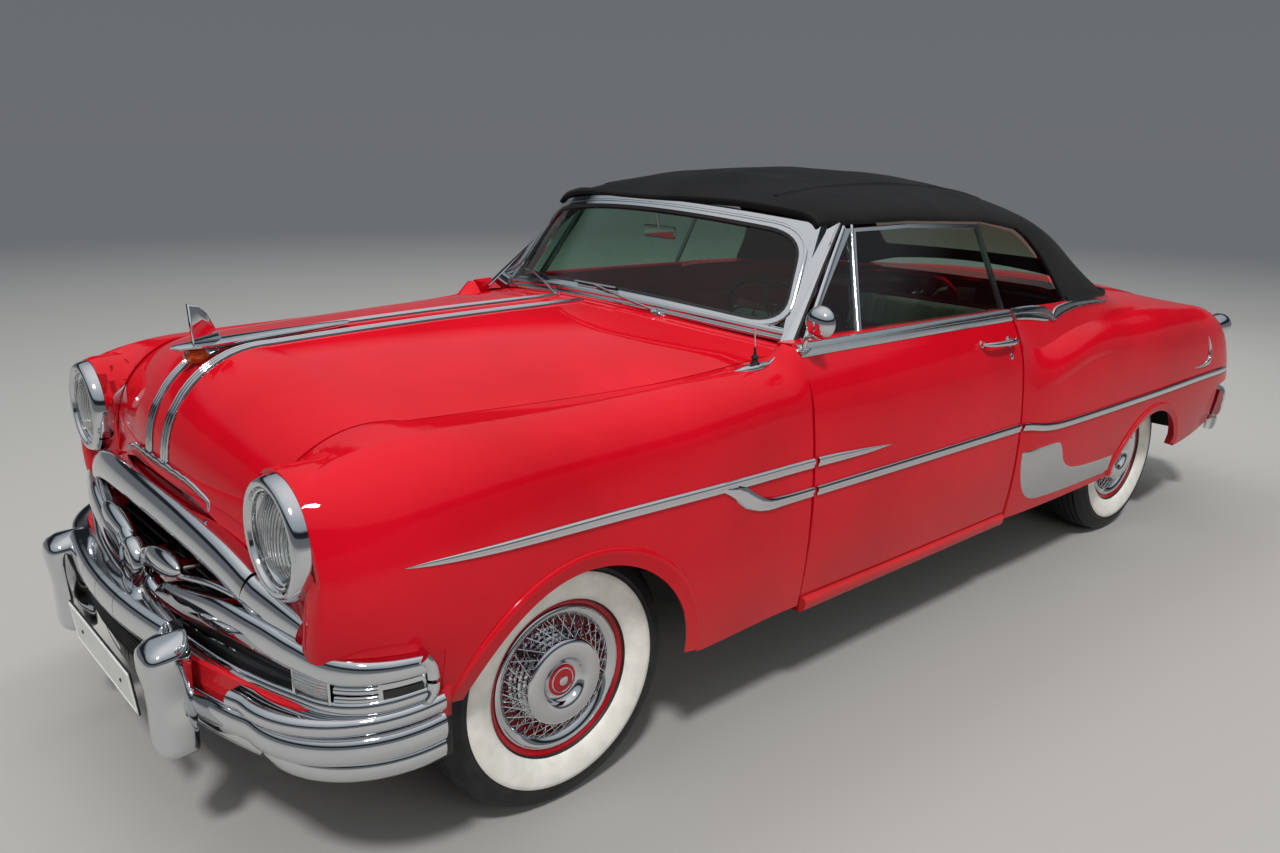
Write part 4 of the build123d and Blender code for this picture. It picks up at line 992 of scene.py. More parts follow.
# Grille
# A plain round boss in the middle with a teardrop wing to each side, slim strips above the wing
# bars, and a black baffle with upright fins behind the opening.
def blob(bm, centre, sizes, turn=0.0):
    """A squashed ball at the centre, leant by turn about the car's length."""
    shape = (Matrix.Translation(Vector(centre)) @ Matrix.Rotation(turn, 4, "X")
        @ Matrix.Diagonal((*sizes, 1.0)))
    bmesh.ops.create_uvsphere(bm, u_segments=32, v_segments=20, radius=1.0, matrix=shape)


bm = bmesh.new()
boss = [(0, 22), (14, 21.5), (26, 19.5), (37, 16), (40, 13.5), (42, 17.5), (46, 20.5), (52, 21), (60, 18),
    (66, 10), (69, 0), (70, -14), (62, -24), (40, -30), (0, -32)]
turned(bm, boss, 64, 0, facing((2448, 0, 612), (1, 0, 0)))
for side in (-1, 1):
    blob(bm, (2428, side * 175, 668), (27, 128, 34), side * 0.12)
    blob(bm, (2432, side * 78, 650), (22, 62, 26), side * 0.35)
    blob(bm, (2430, side * 96, 566), (26, 62, 30), side * -0.30)
    strip = curve_through([(2436, side * 128, 640), (2428, side * 300, 668), (2408, side * 440, 690),
        (2384, side * 566, 690)], 8)
    bar(bm, strip, d_section(15, 18), (1, 0, 0.2))
    stay = [(2300, side * 70, 600), (2420, side * 60, 600)]
    rod(bm, stay[0], stay[1], 16, 16)
grille_piece = finish_piece("grille_boss", bm, [chrome], 45.0)
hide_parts("grille")
bm = bmesh.new()
sheet(bm, [[(2262, -610, z), (2262, 610, z)] for z in (440, 560, 720)], 4.0)
for i in range(61):
    y = -600 + 20 * i
    drawn(bm, [[(2262, y - 2, z), (2290, y - 2, z), (2290, y + 2, z), (2262, y + 2, z)]
        for z in (445, 715)])
for z in (480, 520, 560, 600, 640):
    drawn(bm, [[(2280, y, z - 4), (2302, y, z - 4), (2302, y, z + 4), (2280, y, z + 4)]
        for y in (-605, 605)])
finish_piece("grille_baffle", bm, [enamel_and_painted_shade])


# Side wings
# Upper and lower chrome bars start beside the boss, run out under the headlamps and turn the corner to
# one rounded end. Between them are a black recess with thin strips, a ribbed clear parking lamp, a ribbed
# block and an end plate whose slot is a black strip laid on it, painted shade.
wing_rows = [(2446, 140), (2440, 300), (2420, 500), (2392, 640), (2368, 745), (2340, 835), (2290, 900),
    (2225, 936), (2150, 952)]
upper_z = [575, 598, 630, 628, 620, 614, 611, 609, 607]
upper_tall = [70, 80, 82, 78, 72, 66, 60, 54, 48]
lower_z = [492, 498, 506, 512, 520, 526, 531, 536, 541]
lower_tall = [44, 40, 38, 36, 36, 36, 36, 36, 36]


def level_out(along):
    """The level direction out of the car, square to a path that leaves the car's middle."""
    return Vector((along.y, -along.x, 0.0)).normalized()


def wing_bar(bm, heights, talls, deep, inset):
    """One chrome bar of the wing, rounded off at its inner end; gives back its path."""
    path = curve_through([(x - inset, y, z) for (x, y), z in zip(wing_rows, heights)], 8)
    size = curve_through([(t, 0, 0) for t in talls], 8)
    rings = []
    for i, (along, place) in enumerate(zip(tangents(path), path)):
        outward = (level_out(along) + Vector((0, 0, 0.12))).normalized()
        up = outward.cross(along).normalized()
        up = up if up.z > 0 else -up
        shrink = min(1.0, sqrt(1 - (1 - (i + 0.4) / 5) ** 2)) if i < 5 else 1.0
        rings.append([place + up * u * shrink + outward * o for u, o in d_section(size[i].x, deep, 2.0)])
    drawn(bm, rings)
    return path


bm = bmesh.new()
upper_path = wing_bar(bm, upper_z, upper_tall, 46, 0)
lower_path = wing_bar(bm, lower_z, lower_tall, 40, 2)
wing_out = [level_out(along) for along in tangents(upper_path)]
wing_end = len(upper_path) - 1


def wing_band(bm, inset, low_part, high_part, first, last, material):
    """A sheet between the two bars over part of their length, set back by inset."""
    columns = []
    for i in range(first, last + 1):
        columns.append([lower_path[i].lerp(upper_path[i], low_part + (high_part - low_part) * k / 3)
            - wing_out[i] * inset for k in range(4)])
    sheet(bm, columns, 3.0, material)


wing_band(bm, 34, 0.0, 1.0, 1, wing_end, 1)
for part in (0.38, 0.62):
    rail = [lower_path[i].lerp(upper_path[i], part) + Vector((-20, 0, 0)) for i in range(4, 38)]
    bar(bm, rail, [(-3, -8), (-3, 0), (0, 2), (3, 0), (3, -8)], (1, 0, 0))
cap = curve_through([lower_path[-1] + Vector((4, 0, -16)), lower_path[-1] + Vector((-14, 2, 8)),
    upper_path[-1] + Vector((-14, 2, -8)), upper_path[-1] + Vector((4, 0, 20))], 6)
bar(bm, cap, [(-16, -34), (-16, -6), (-9, 3), (0, 6), (9, 3), (16, -6), (16, -34)], (0, 1, 0))
wing_band(bm, 10, 0.12, 0.9, 53, wing_end, 0)
# The slot: a black strip laid on the end plate, painted shade where a slot would be.
slot_rows = []
for i in range(54, wing_end):
    slot_rows.append([lower_path[i].lerp(upper_path[i], k) - wing_out[i] * 5.5 for k in (0.22, 0.44)])
sheet(bm, slot_rows, 2.0, 1)
for part in (0.25, 0.5, 0.75):
    ribs = [lower_path[i].lerp(upper_path[i], part) - wing_out[i] * 4 for i in range(43, 54)]
    bar(bm, ribs, d_section(17, 20), (0.8, 0.6, 0))
wings = finish_pair("side_wing", bm, [chrome, enamel_and_painted_shade], 45.0)
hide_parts("side_wings")


# Parking lamps
# A clear ribbed lens with a chrome post at each end, between the wing bars.
def ripple(tree, axis, pitch):
    """Parallel waves this many metres apart along one axis."""
    turns = combined(tree, "MULTIPLY", axis_place(tree, axis), tau / pitch)
    return combined(tree, "SINE", turns)


def ribbed_glass(name, colour, axis, pitch, depth, through=0.75):
    """Moulded clear glass with parallel ribs this many millimetres apart along one axis."""
    made, tree, shader = new_material(name, colour, Roughness=0.05, IOR=1.5, Coat_Weight=0.6,
        Transmission_Weight=through)
    bump(tree, shader.inputs["Normal"], ripple(tree, axis, pitch * MM), 0.7, depth * MM)
    return made


parking_glass = ribbed_glass("clear_ribbed_glass", "E9ECEA", "Z", 7.0, 1.2)
bm = bmesh.new()
lens = []
for i in range(33, 43):
    middle = lower_path[i].lerp(upper_path[i], 0.5)
    lens.append([middle + Vector((0, 0, u)) + wing_out[i] * o
        for u, o in ((-25, -26), (-25, -8), (-20, -3), (0, 0), (20, -3), (25, -8), (25, -26))])
drawn(bm, lens)
for i in (33, 42):
    middle = lower_path[i].lerp(upper_path[i], 0.5) - wing_out[i] * 6
    bar(bm, [middle + Vector((0, 0, -32)), middle + Vector((0, 0, 32))],
        [(-4, -16), (-4, 2), (0, 5), (4, 2), (4, -16)], wing_out[i], 1)
finish_pair("parking_lamp", bm, [parking_glass, chrome], 40.0)


# Headlamps
# Sealed lamps: a deep chromed bezel with a visor lip, a fluted domed lens, a silvered bowl and a
# bulb shield.
lamp_glass = ribbed_glass("fluted_lamp_glass", "F2F4F2", "Y", 11.0, 0.7, 0.96)
for side, name in ((1, "left"), (-1, "right")):
    at = facing((2352, side * lamp_y, lamp_z), (1, 0, 0))
    bm = bmesh.new()
    turned(bm, [(134, -96), (141, -92), (142.5, -80), (142, -40), (139, -10), (134, 6), (128, 13),
        (121, 15), (114, 12), (110, 4), (106, -8), (100, -14), (97, -24), (97, -60), (134, -60),
        (134, -96)], 96, 0, at)
    turned(bm, [(110, 1), (108, 5), (104, 4), (103, -4), (110, 1)], 96, 0, at)
    turned(bm, [(98, -22), (90, -50), (70, -74), (40, -88), (0, -92)], 64, 0, at)
    turned(bm, [(0, -30), (15, -32), (20, -42), (14, -50), (0, -52)], 32, 0, at)
    rod(bm, at @ Vector((0, 0, -92)), at @ Vector((0, 0, -48)), 7)
    finish_piece("headlamp_bezel_" + name, bm, [chrome], 40.0)
    bm = bmesh.new()
    dome = [(99, -17), (92, -6), (78, 3), (58, 10), (34, 15), (12, 17), (0, 17.3)]
    turned(bm, dome + [(0, 13.3), (12, 13), (34, 11), (58, 6), (78, -1), (90, -10), (97, -20), (99, -17)],
        96, 0, at)
    glass = finish_piece("headlamp_lens_" + name, bm, [lamp_glass], 60.0)
    if side > 0:
        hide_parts("headlamps")


# Front bumper
# A wide chromed face bar in steps: a raised bar between two tall guards, a ribbed recess under it that is
# black as painted shade, and outside the guards three stacked bars that turn the corners.
front_rows = [(322, 2480, 2385, 640, 2290, 860, 2100, 935), (460, 2540, 2445, 640, 2340, 872, 2110, 955),
    (598, 2500, 2405, 640, 2305, 864, 2110, 945)]
rear_rows = [(330, -2495, -2425, 640, -2350, 850, -2180, 935),
    (440, -2545, -2475, 640, -2390, 866, -2190, 955), (560, -2510, -2440, 640, -2360, 856, -2190, 945)]


def bumper_line(rows, level, rise, start_y):
    """The face of the bumper at one level from start_y to its end, where it has risen."""
    low, high = rows[:2] if level < rows[1][0] else rows[1:]
    part = clamp((level - low[0]) / (high[0] - low[0]))
    _, x_mid, x_turn, y_turn, x_corner, y_corner, x_end, y_end = [a + (b - a) * part
        for a, b in zip(low, high)]
    front = arc_points((x_turn, -y_turn), (x_mid, 0), (x_turn, y_turn), 32)[16:]
    corner = arc_points((x_turn, y_turn), (x_corner, y_corner), (x_end, y_end), 24)[1:]
    plan = [(x, y) for x, y in front + corner if y >= start_y - 0.01]
    count = len(plan) - 1
    return [Vector((x, y, level + rise * (i / count) ** 2)) for i, (x, y) in enumerate(plan)]


def wall_out(path):
    """Outward directions for a path that leaves the middle of the car and turns the corner."""
    sign = 1 if path[0].x > 0 else -1
    return [level_out(along) * sign for along in tangents(path)]


def face_bar(bm, path, section, material=0):
    """An upright bar along a bumper's line, from pairs up and out of its face."""
    rings = [[place + Vector((0, 0, u)) + out * o for u, o in section]
        for place, out in zip(path, wall_out(path))]
    drawn(bm, rings, True, material)


def squared(angle, power):
    """A place on the unit circle, bulged towards a square by a power under 1."""
    return [copysign(abs(v) ** power, v) for v in (cos(angle), sin(angle))]


def guard(bm, x_front, sign, y, z_low, z_top, half, deep):
    """A tall rounded block: bulbous at the top, a waist under it and a rounded tail."""
    levels = 26
    rings = []
    for i in range(levels + 1):
        t = i / levels
        z = z_low + (z_top - z_low) * t
        swell = 1.0 + 0.10 * exp(-((t - 0.84) / 0.16) ** 2) - 0.14 * exp(-((t - 0.52) / 0.15) ** 2)
        round_top = sqrt(max(1 - max((t - 0.86) / 0.14, 0) ** 2, 0.0)) * 0.93 + 0.07
        round_low = sqrt(max(1 - max((0.10 - t) / 0.10, 0) ** 2, 0.0)) * 0.75 + 0.25
        width = half * swell * min(round_top, round_low)
        depth = deep * (0.88 + 0.12 * exp(-((t - 0.80) / 0.22) ** 2)) * min(round_top, round_low)
        back = x_front - sign * deep
        ring = []
        for k in range(28):
            out, wide = squared(tau * k / 28, 0.62)
            ring.append((back + sign * depth * (0.5 + 0.5 * out), y + width * wide, z))
        rings.append(ring)
    drawn(bm, rings)


def doubled(bm):
    """Adds the mirror image across the car's middle to the same mesh."""
    other = bm.copy()
    bmesh.ops.scale(other, vec=(1, -1, 1), verts=other.verts)
    helper = bpy.data.meshes.new("mirror_copy")
    other.to_mesh(helper)
    other.free()
    bm.from_mesh(helper)
    bpy.data.meshes.remove(helper)


main_section = [(-35, -40), (-35, -14), (-32, -6), (-25, 0), (-13, 5), (0, 7), (13, 6), (24, 2), (31, -4),
    (34, -12), (34, -40)]
low_section = [(-30, -44), (-30, -20), (-26, -10), (-16, -3), (-2, 1), (10, 1), (20, -3), (26, -9),
    (29, -18), (29, -44)]
step_section = [(-22, -40), (-22, -12), (-18, -3), (-8, 4), (4, 6), (14, 3), (20, -4), (22, -12),
    (22, -40)]
bm = bmesh.new()
face_bar(bm, bumper_line(front_rows, 416, 28, 380), main_section)
face_bar(bm, bumper_line(front_rows, 346, 38, 0), low_section)
face_bar(bm, bumper_line(front_rows, 481, 26, 598), step_section)
# Backing behind the bars: the black lower strip is painted shade in the gaps between the bars; the red
# upper strip is body colour.
behind = [p - Vector((22, 12, 0)) for p in bumper_line(front_rows, 400, 30, 0)]
face_bar(bm, behind, [(-66, -14), (-66, 0), (30, 0), (30, -14)], 1)
face_bar(bm, behind, [(30, -14), (30, 0), (100, 0), (100, -14)], 2)
guard(bm, 2573, 1, 415, 288, 588, 56, 108)
for near_y, far_y in ((1.0, 130.5), (132.5, 378.5)):
    lane = [Vector((2548 - (y / 640) ** 2 * 95, y, 556)) for y in even_steps(near_y, far_y, 8)]
    bar(bm, lane, d_section(88, 60, 4.0), (1, 0, 0.05))
doubled(bm)
bumper = finish_piece("front_bumper_chrome", bm, [chrome, enamel_and_painted_shade, red_paint], 42.0)
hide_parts("front_bumper")
# Ribbed recess under the raised bar, all in black: painted shade between the bars.
bm = bmesh.new()
recess = [Vector((2510 - (y / 640) ** 2 * 95, y, 463)) for y in (-372, -248, -124, 0, 124, 248, 372)]
bar(bm, recess, [(-52, -8), (-52, 0), (52, 0), (52, -8)], (1, 0, 0))
for level in (-40, -28, -16, -4, 8, 20, 32, 44):
    bar(bm, [p + Vector((0, 0, level)) for p in recess], [(-3.2, -2), (-3.2, 5), (0, 8), (3.2, 5),
        (3.2, -2)], (1, 0, 0))
finish_piece("bumper_recess", bm, [enamel_and_painted_shade])


# Front plate
# A blank white pressed plate with a raised rim, on a black holder under the raised bar.
plate_white = coated_steel("white_plate_paint", "D8D8D2", "E6E6E0", 0.35, 30.0, 0.0001)
bm = bmesh.new()
plate_lean = Matrix.Translation((2552, 0, 384)) @ Matrix.Rotation(0.10, 4, "Y")


def plate(bm, at, long, tall):
    """Blank plate: a flat field, a raised rim, two bolts and a black holder behind."""
    def slab(half_y, half_z, x0, x1, material):
        ring = [(-half_y, -half_z), (half_y, -half_z), (half_y, half_z), (-half_y, half_z)]
        drawn(bm, [[at @ Vector((x, y, z)) for y, z in ring] for x in (x0, x1)], True, material)
    slab(long / 2, tall / 2, 0, 1.6, 0)
    slab(long / 2 + 3, tall / 2 + 3, -5, 0, 1)
    rim = [(-long / 2 + 4, -tall / 2 + 4), (long / 2 - 4, -tall / 2 + 4), (long / 2 - 4, tall / 2 - 4),
        (-long / 2 + 4, tall / 2 - 4), (-long / 2 + 4, -tall / 2 + 4)]
    for (y0, z0), (y1, z1) in zip(rim, rim[1:]):
        rod(bm, at @ Vector((1.6, y0, z0)), at @ Vector((1.6, y1, z1)), 1.8, 8, 0)
    for y in (-long * 0.32, long * 0.32):
        turned(bm, [(5, 0), (5, 2.4), (3, 3.6), (0, 4)], 16, 1, at @ facing((1.4, y, 0), (1, 0, 0)))


plate(bm, plate_lean, 520, 112)
finish_piece("front_plate", bm, [plate_white, enamel_and_painted_shade], 30.0)


# Windows
# Laminated side glass and windshield with a faint green tint, the windshield in a chromed frame and
# bedded in black rubber, and the side panes in stainless channels.
def window_pane(name, tint, roughness=0.0):
    """Clear sheet that tints what is behind it and mirrors more at a slant."""
    made = bpy.data.materials.new(name)
    made.use_nodes = True
    tree = made.node_tree
    tree.nodes.clear()
    haze = mapped(tree, noise(tree, 5.0, 5.0), 0.45, 0.8, roughness, roughness + 0.05)
    through = add_node(tree, "BsdfTransparent", inputs={"Color": linear(tint)})
    gloss = add_node(tree, "BsdfGlossy", inputs={"Roughness": haze})
    slant = add_node(tree, "Fresnel", inputs={"IOR": 1.5})
    side = add_node(tree, "NewGeometry")
    outer_face = combined(tree, "SUBTRACT", 1.0, side.outputs["Backfacing"])
    share = combined(tree, "MULTIPLY", slant.outputs["Fac"], outer_face)
    both = add_node(tree, "MixShader", inputs={0: share, 1: through.outputs["BSDF"],
        2: gloss.outputs["BSDF"]})
    add_node(tree, "OutputMaterial", inputs={"Surface": both.outputs["Shader"]})
    return made


tinted_glass = window_pane("tinted_laminated_glass", "D9E8DF")
clear_vinyl = window_pane("clear_vinyl_sheet", "E4E4DA", 0.12)
refinish(tinted_glass, "windshield_glass", "door_window_left", "door_window_right", "quarter_windows")
refinish(clear_vinyl, "rear_window")
refinish(chrome, "windshield_frame")
refinish(bright_steel, "door_window_frame_left", "door_window_frame_right")
seal_rubber = rubber("black_seal_rubber", "0E0E0F", "1A1A1B", 0.7)


def rounded(runs, corner, parts=8):
    """One closed outline from runs of places that meet in corners, each corner rounded off."""
    outline = []
    for i, run in enumerate(runs):
        after = runs[(i + 1) % 4]
        knot = run[-1]
        kept = [p for p in run if (p - knot).length > corner and (p - runs[i - 1][-1]).length > corner]
        start = kept[-1]
        end = next(p for p in after if (p - knot).length > corner)
        outline += kept
        outline += [start.lerp(knot, k / parts).lerp(knot.lerp(end, k / parts), k / parts)
            for k in range(1, parts)]
    return outline


def between(first, second):
    """Places from the end of one run to the start of the next."""
    return [first[-1].lerp(second[0], k / 10) for k in range(11)]


def shield_round(grow, corner, parts=8):
    """Rounded outline of the glass opening in front view, as lateral and height pairs."""
    half_low, low, low_mid = 700.0, 1138.0, 1198.0
    half_top, top, top_mid = 624.0, 1405.0, 1458.0
    low_line = [Vector((t * (half_low + grow), low - grow + (low_mid - low) * (1 - t * t)))
        for t in even_steps(-1, 1, 24)]
    top_line = [Vector((-t * (half_top + grow), top + grow + (top_mid - top) * (1 - t * t)))
        for t in even_steps(-1, 1, 24)]
    return rounded([low_line, between(low_line, top_line), top_line, between(top_line, low_line)], corner,
        parts)


def on_shield(lateral, lift, out):
    """A place this far ahead of the windshield's bent face."""
    mid = 1037 + (712 - 1037) * (lift - 1060) / 440
    radius = 1276 + (1074 - 1276) * (lift - 1060) / 440
    x = mid - radius + sqrt(radius * radius - lateral * lateral)
    return Vector((x + out, lateral, lift))


def shield_touch(lateral, lift, out):
    """A place ahead of the windshield, and the direction straight out of the glass there."""
    return on_shield(lateral, lift, out), Vector((0.80, 0.80 * lateral / 1150, 0.58)).normalized()


def shield_ring(bm, section, grow, corner, out, material=0):
    """A strip round the glass opening, its edge moved out by grow."""
    line = shield_round(grow, corner)
    touched = [shield_touch(lateral, lift, out) for lateral, lift in line + line[:1]]
    moulding(bm, touched, section, None, material)


bm = bmesh.new()
shield_ring(bm, half_round(16, 6, 6), 9, 60, -2)
shield_ring(bm, [(-9, -14), (-9, 0), (-4, 2.5), (4, 2.5), (9, 0), (9, -14)], -4, 62, -3, 1)
inner = shield_round(-2, 64)
outer = shield_round(12, 12)
low_web = []
for lateral, lift in inner:
    far = min(outer, key=lambda p: (p - Vector((lateral, lift))).length)
    low_web.append([on_shield(lateral, lift, 0.5), on_shield(far.x, far.y, 0.5)])
low_web.append(low_web[0])
sheet(bm, low_web, 3.0)
finish_piece("windshield_rim", bm, [chrome, seal_rubber], 50.0)


def pane_side(x, z, out):
    """A place on the leaning plane of the side glass."""
    part = (z - 1108) / 350
    foot = 838 + (852 - 838) * min(max((500 - x) / 350, -0.9), 1)
    edge = 655 + (682 - 655) * min(max((500 - x) / 350, -0.9), 1)
    return Vector((x, foot + (edge - foot) * part - 14 + out, z))


bm = bmesh.new()
for (x0, z0), (x1, z1), wide in (((560, 1106), (425, 1424), 9), ((462, 1420), (804, 1108), 11)):
    path = [pane_side(x, z, 4) for x, z in zip(even_steps(x0, x1, 6), even_steps(z0, z1, 6))]
    bar(bm, path, half_round(wide * 1.6, 6, 4), (0, 1, 0.35))
finish_pair("vent_frame", bm, [chrome], 40.0, bodies=on_doors)


# Windshield pillars
# A chromed cover closes each pillar between the windshield and the front edge of the door's vent
# window, with a black rubber seal along it.
bm = bmesh.new()
front_edge = [Vector((843, 762, 1106)), Vector((723, 729, 1213)), Vector((600, 695, 1322)),
    Vector((482, 660, 1436))]
vent_edge = [Vector((820, 789, 1110)), Vector((706, 747, 1216)), Vector((588, 703, 1324)),
    Vector((474, 663, 1430))]
cover = [[a, a.lerp(b, 0.35) + Vector((2, 4, 1)), a.lerp(b, 0.75) + Vector((1, 4, 1)), b]
    for a, b in zip(curve_through(front_edge, 5), curve_through(vent_edge, 5))]
sheet(bm, cover, 4.0, settle=True)
bar(bm, [p + Vector((2, 1, -1)) for p in curve_through(vent_edge, 5)], half_round(9, 5, 9), (0.2, 1, 0.4),
    1)
finish_pair("pillar_cover", bm, [chrome, seal_rubber], 40.0)


# Cowl trim
# A wide stainless moulding closes the foot of the windshield.
bm = bmesh.new()
foot_section = [(-20, -8), (-20, 2), (-14, 6), (-8, 3), (-2, 4), (2, 9), (10, 10), (17, 7), (21, 1),
    (21, -8)]
touched = []
for lateral in even_steps(-752, 752, 48):
    lift = 1112 + 64 * (1 - (lateral / 752) ** 2)
    touched.append(shield_touch(lateral, lift, 6))
moulding(bm, touched, foot_section)
finish_piece("cowl_moulding", bm, [bright_steel], 30.0)


# Wipers
# Two stainless arms on round pivots with rubber blades, parked along the foot of the glass.
bm = bmesh.new()
for pivot_y, tip_y, near_y in ((336, -84, 126), (-120, -520, -300)):
    pivot = on_shield(pivot_y, 1152, 34) + Vector((0, 0, 4))
    turned(bm, [(0, 10), (9, 9), (13, 4), (15, -4), (16, -22), (0, -22)], 24, 0,
        facing(pivot, (0.6, 0, 1)))
    blade_mid_y = (tip_y + near_y) / 2
    blade_mid = on_shield(blade_mid_y, 1208 - 24 * (blade_mid_y / 700) ** 2, 12)
    arm_bend = on_shield((pivot_y + blade_mid_y) / 2, 1186, 26)
    rod(bm, pivot + Vector((0, 0, 6)), arm_bend, 4.5, 10, 0, 3.2)
    rod(bm, arm_bend, blade_mid + Vector((6, 0, 0)), 3.2, 10, 0)
    blade = [on_shield(y, 1205 - 24 * (y / 700) ** 2, 5) for y in even_steps(near_y, tip_y, 8)]
    bar(bm, blade, [(-3, 0), (-3, 6), (3, 6), (3, 0)], (1, 0, 0.6), 1)
    bar(bm, [p + Vector((6, 0, 2)) for p in blade], [(-2.5, 0), (-2.5, 4), (2.5, 4), (2.5, 0)],
        (1, 0, 0.6), 0)
finish_piece("wipers", bm, [bright_steel, seal_rubber], 40.0)


# Fabric top
# Black canvas stretched over four bows. It has a padded front edge over the windshield, two
# lengthwise seams, a bound rear window and a hem that follows the side windows.
thread_pair = 1.6 * MM


def canvas(name, dark, light):
    """Woven cloth with faint dust, its threads crossing."""
    made, tree, shader = new_material(name, Roughness=0.9, Specular_IOR_Level=0.06, Sheen_Weight=0.05)
    weave = combined(tree, "MULTIPLY", ripple(tree, "X", thread_pair), ripple(tree, "Y", thread_pair))
    tone = toned(tree, noise(tree, 4.0, 6.0), ((0.35, dark), (0.72, light)))
    tree.links.new(tone, shader.inputs["Base Color"])
    bump(tree, shader.inputs["Normal"], combined(tree, "ADD", weave, noise(tree, 700.0, 3.0)), 0.5,
        0.0004)
    return made


black_canvas = canvas("black_top_canvas", "0C0C0D", "19191A")
top_rows = [(800, 812, 1108, 618, 1444, 1466), (500, 838, 1108, 655, 1460, 1548),
    (150, 852, 1108, 682, 1462, 1578), (-300, 856, 1106, 684, 1440, 1566),
    (-700, 849, 1104, 668, 1388, 1520), (-1000, 822, 1092, 622, 1300, 1430),
    (-1230, 744, 1079, 535, 1198, 1290), (-1390, 560, 1072, 400, 1104, 1122)]
bows = (330.0, -60.0, -430.0, -780.0)


def top_row(x):
    """The top's section at x, smoothly between the drawn ones."""
    rows = sorted(top_rows)
    x = min(max(x, rows[0][0]), rows[-1][0])
    i = max(k for k in range(len(rows) - 1) if rows[k][0] <= x + 0.001)
    before = rows[max(i - 1, 0)]
    a = rows[i]
    b = rows[i + 1]
    after = rows[min(i + 2, len(rows) - 1)]
    t = (x - a[0]) / (b[0] - a[0])
    out = []
    for k in range(1, 6):
        slope_a = (b[k] - before[k]) / (b[0] - before[0]) * (b[0] - a[0])
        slope_b = (after[k] - a[k]) / (after[0] - a[0]) * (b[0] - a[0])
        out.append(a[k] * (2 * t ** 3 - 3 * t * t + 1) + slope_a * (t ** 3 - 2 * t * t + t)
            + b[k] * (3 * t * t - 2 * t ** 3) + slope_b * (t ** 3 - t * t))
    return out


def top_profile(x):
    """Points up the left side and over to the middle, with a soft shoulder: y, z."""
    y_foot, z_foot, y_edge, z_edge, z_mid = top_row(x)
    rise = max(z_mid - z_edge, 8.0)
    radius = (y_edge ** 2 + rise ** 2) / (2 * rise)
    over = []
    for k in range(25):
        y = y_edge * (1 - k / 24)
        over.append(Vector((y, z_mid - radius + sqrt(radius * radius - y * y))))
    side = [Vector((y_foot, z_foot)).lerp(Vector((y_edge, z_edge)), k / 14) for k in range(15)]
    line = side[:-1] + over
    for _ in range(4):
        eased = [(line[i - 1] + line[i] * 2 + line[i + 1]) / 4 for i in range(1, len(line) - 1)]
        line = [line[0]] + eased + [line[-1]]
    return line


def hem_height(x):
    """Height of the cloth's lower edge: along the windows, then down to the belt."""
    points = [(800, 1424), (640, 1426), (150, 1430), (-300, 1408), (-520, 1372), (-585, 1335),
        (-640, 1270), (-664, 1190), (-672, 1120), (-676, 1100)]
    if x <= points[-1][0]:
        return 0.0
    for (x0, z0), (x1, z1) in zip(points, points[1:]):
        if x1 <= x <= x0:
            return z1 + (z0 - z1) * (x - x1) / (x0 - x1)
    return points[0][1]


def cloth_column(x, count=34):
    """The left half of the cloth at x, from its lower edge to the middle, evenly spaced."""
    line = top_profile(x)
    low = hem_height(x) + 2
    while len(line) > 2 and line[1].y < low:
        line.pop(0)
    if line[0].y < low:
        a, b = line[0], line[1]
        line[0] = a.lerp(b, (low - a.y) / (b.y - a.y))
    lengths = [0.0]
    for a, b in zip(line, line[1:]):
        lengths.append(lengths[-1] + (b - a).length)
    even = []
    for k in range(count + 1):
        want = lengths[-1] * k / count
        i = max(j for j in range(len(lengths) - 1) if lengths[j] <= want + 0.0001)
        part = (want - lengths[i]) / max(lengths[i + 1] - lengths[i], 0.001)
        even.append(line[i].lerp(line[i + 1], min(part, 1.0)))
    return even


def front_limit(y, z):
    """How far forward the cloth may reach over the windshield frame."""
    return on_shield(y, min(z, 1500.0), 8).x


def cloth_swell(x, y):
    """The cloth stands up over each bow and hangs a little between them."""
    ridge = sum(exp(-((x - bow) / 26.0) ** 2) for bow in bows)
    middle = 1 - min(abs(y) / 700, 1) ** 2
    return (3.2 * ridge - 2.4) * (0.35 + 0.65 * middle)


columns_x = [640 - 20 * k for k in range(59)] + [-540, -552, -564, -576, -588, -600, -612, -624, -632,
    -640, -646, -652, -658, -664, -668, -672, -675.9]
columns_x = sorted({float(x) for x in columns_x if x > -676} | {-676.5 - 24 * k for k in range(30)},
    reverse=True)
columns_x = [x for x in columns_x if x > -1392]
half = 34
stations = []
for x in columns_x:
    left = []
    for y, z in cloth_column(x, half):
        place_x = x
        if x > 150:
            reach = front_limit(y, z)
            part = (x - 150) / (640 - 150)
            place_x = 150 + (reach - 150) * part
            row = top_row(min(place_x, 800))
            y_edge, z_edge, z_mid = row[2], row[3], row[4]
            if z > 1432:
                rise = max(z_mid - z_edge, 8.0)
                radius = (y_edge ** 2 + rise ** 2) / (2 * rise)
                y_in = min(abs(y), y_edge)
                z = max(min(z, z_mid - radius + sqrt(radius * radius - y_in * y_in) + 1), 1424)
        left.append(Vector((place_x, y, z + cloth_swell(x, y))))
    right = [Vector((p.x, -p.y, p.z)) for p in reversed(left[:-1])]
    stations.append(left + right)
bm = bmesh.new()
drawn(bm, stations, False)
bmesh.ops.recalc_face_normals(bm, faces=bm.faces)
whole = bm.faces[:]
top_face = max(whole, key=lambda f: f.calc_center_median().z)
if top_face.normal.z < 0:
    bmesh.ops.reverse_faces(bm, faces=whole)
cloth_skin = BVHTree.FromBMesh(bm)


def cut_plane(bm, place, normal):
    """Cuts the back of the cloth along a plane without removing anything."""
    back = [f for f in bm.faces if f.calc_center_median().x < -820]
    edges = list({e for f in back for e in f.edges})
    verts = list({v for f in back for v in f.verts})
    bmesh.ops.bisect_plane(bm, geom=back + edges + verts, plane_co=place, plane_no=normal)


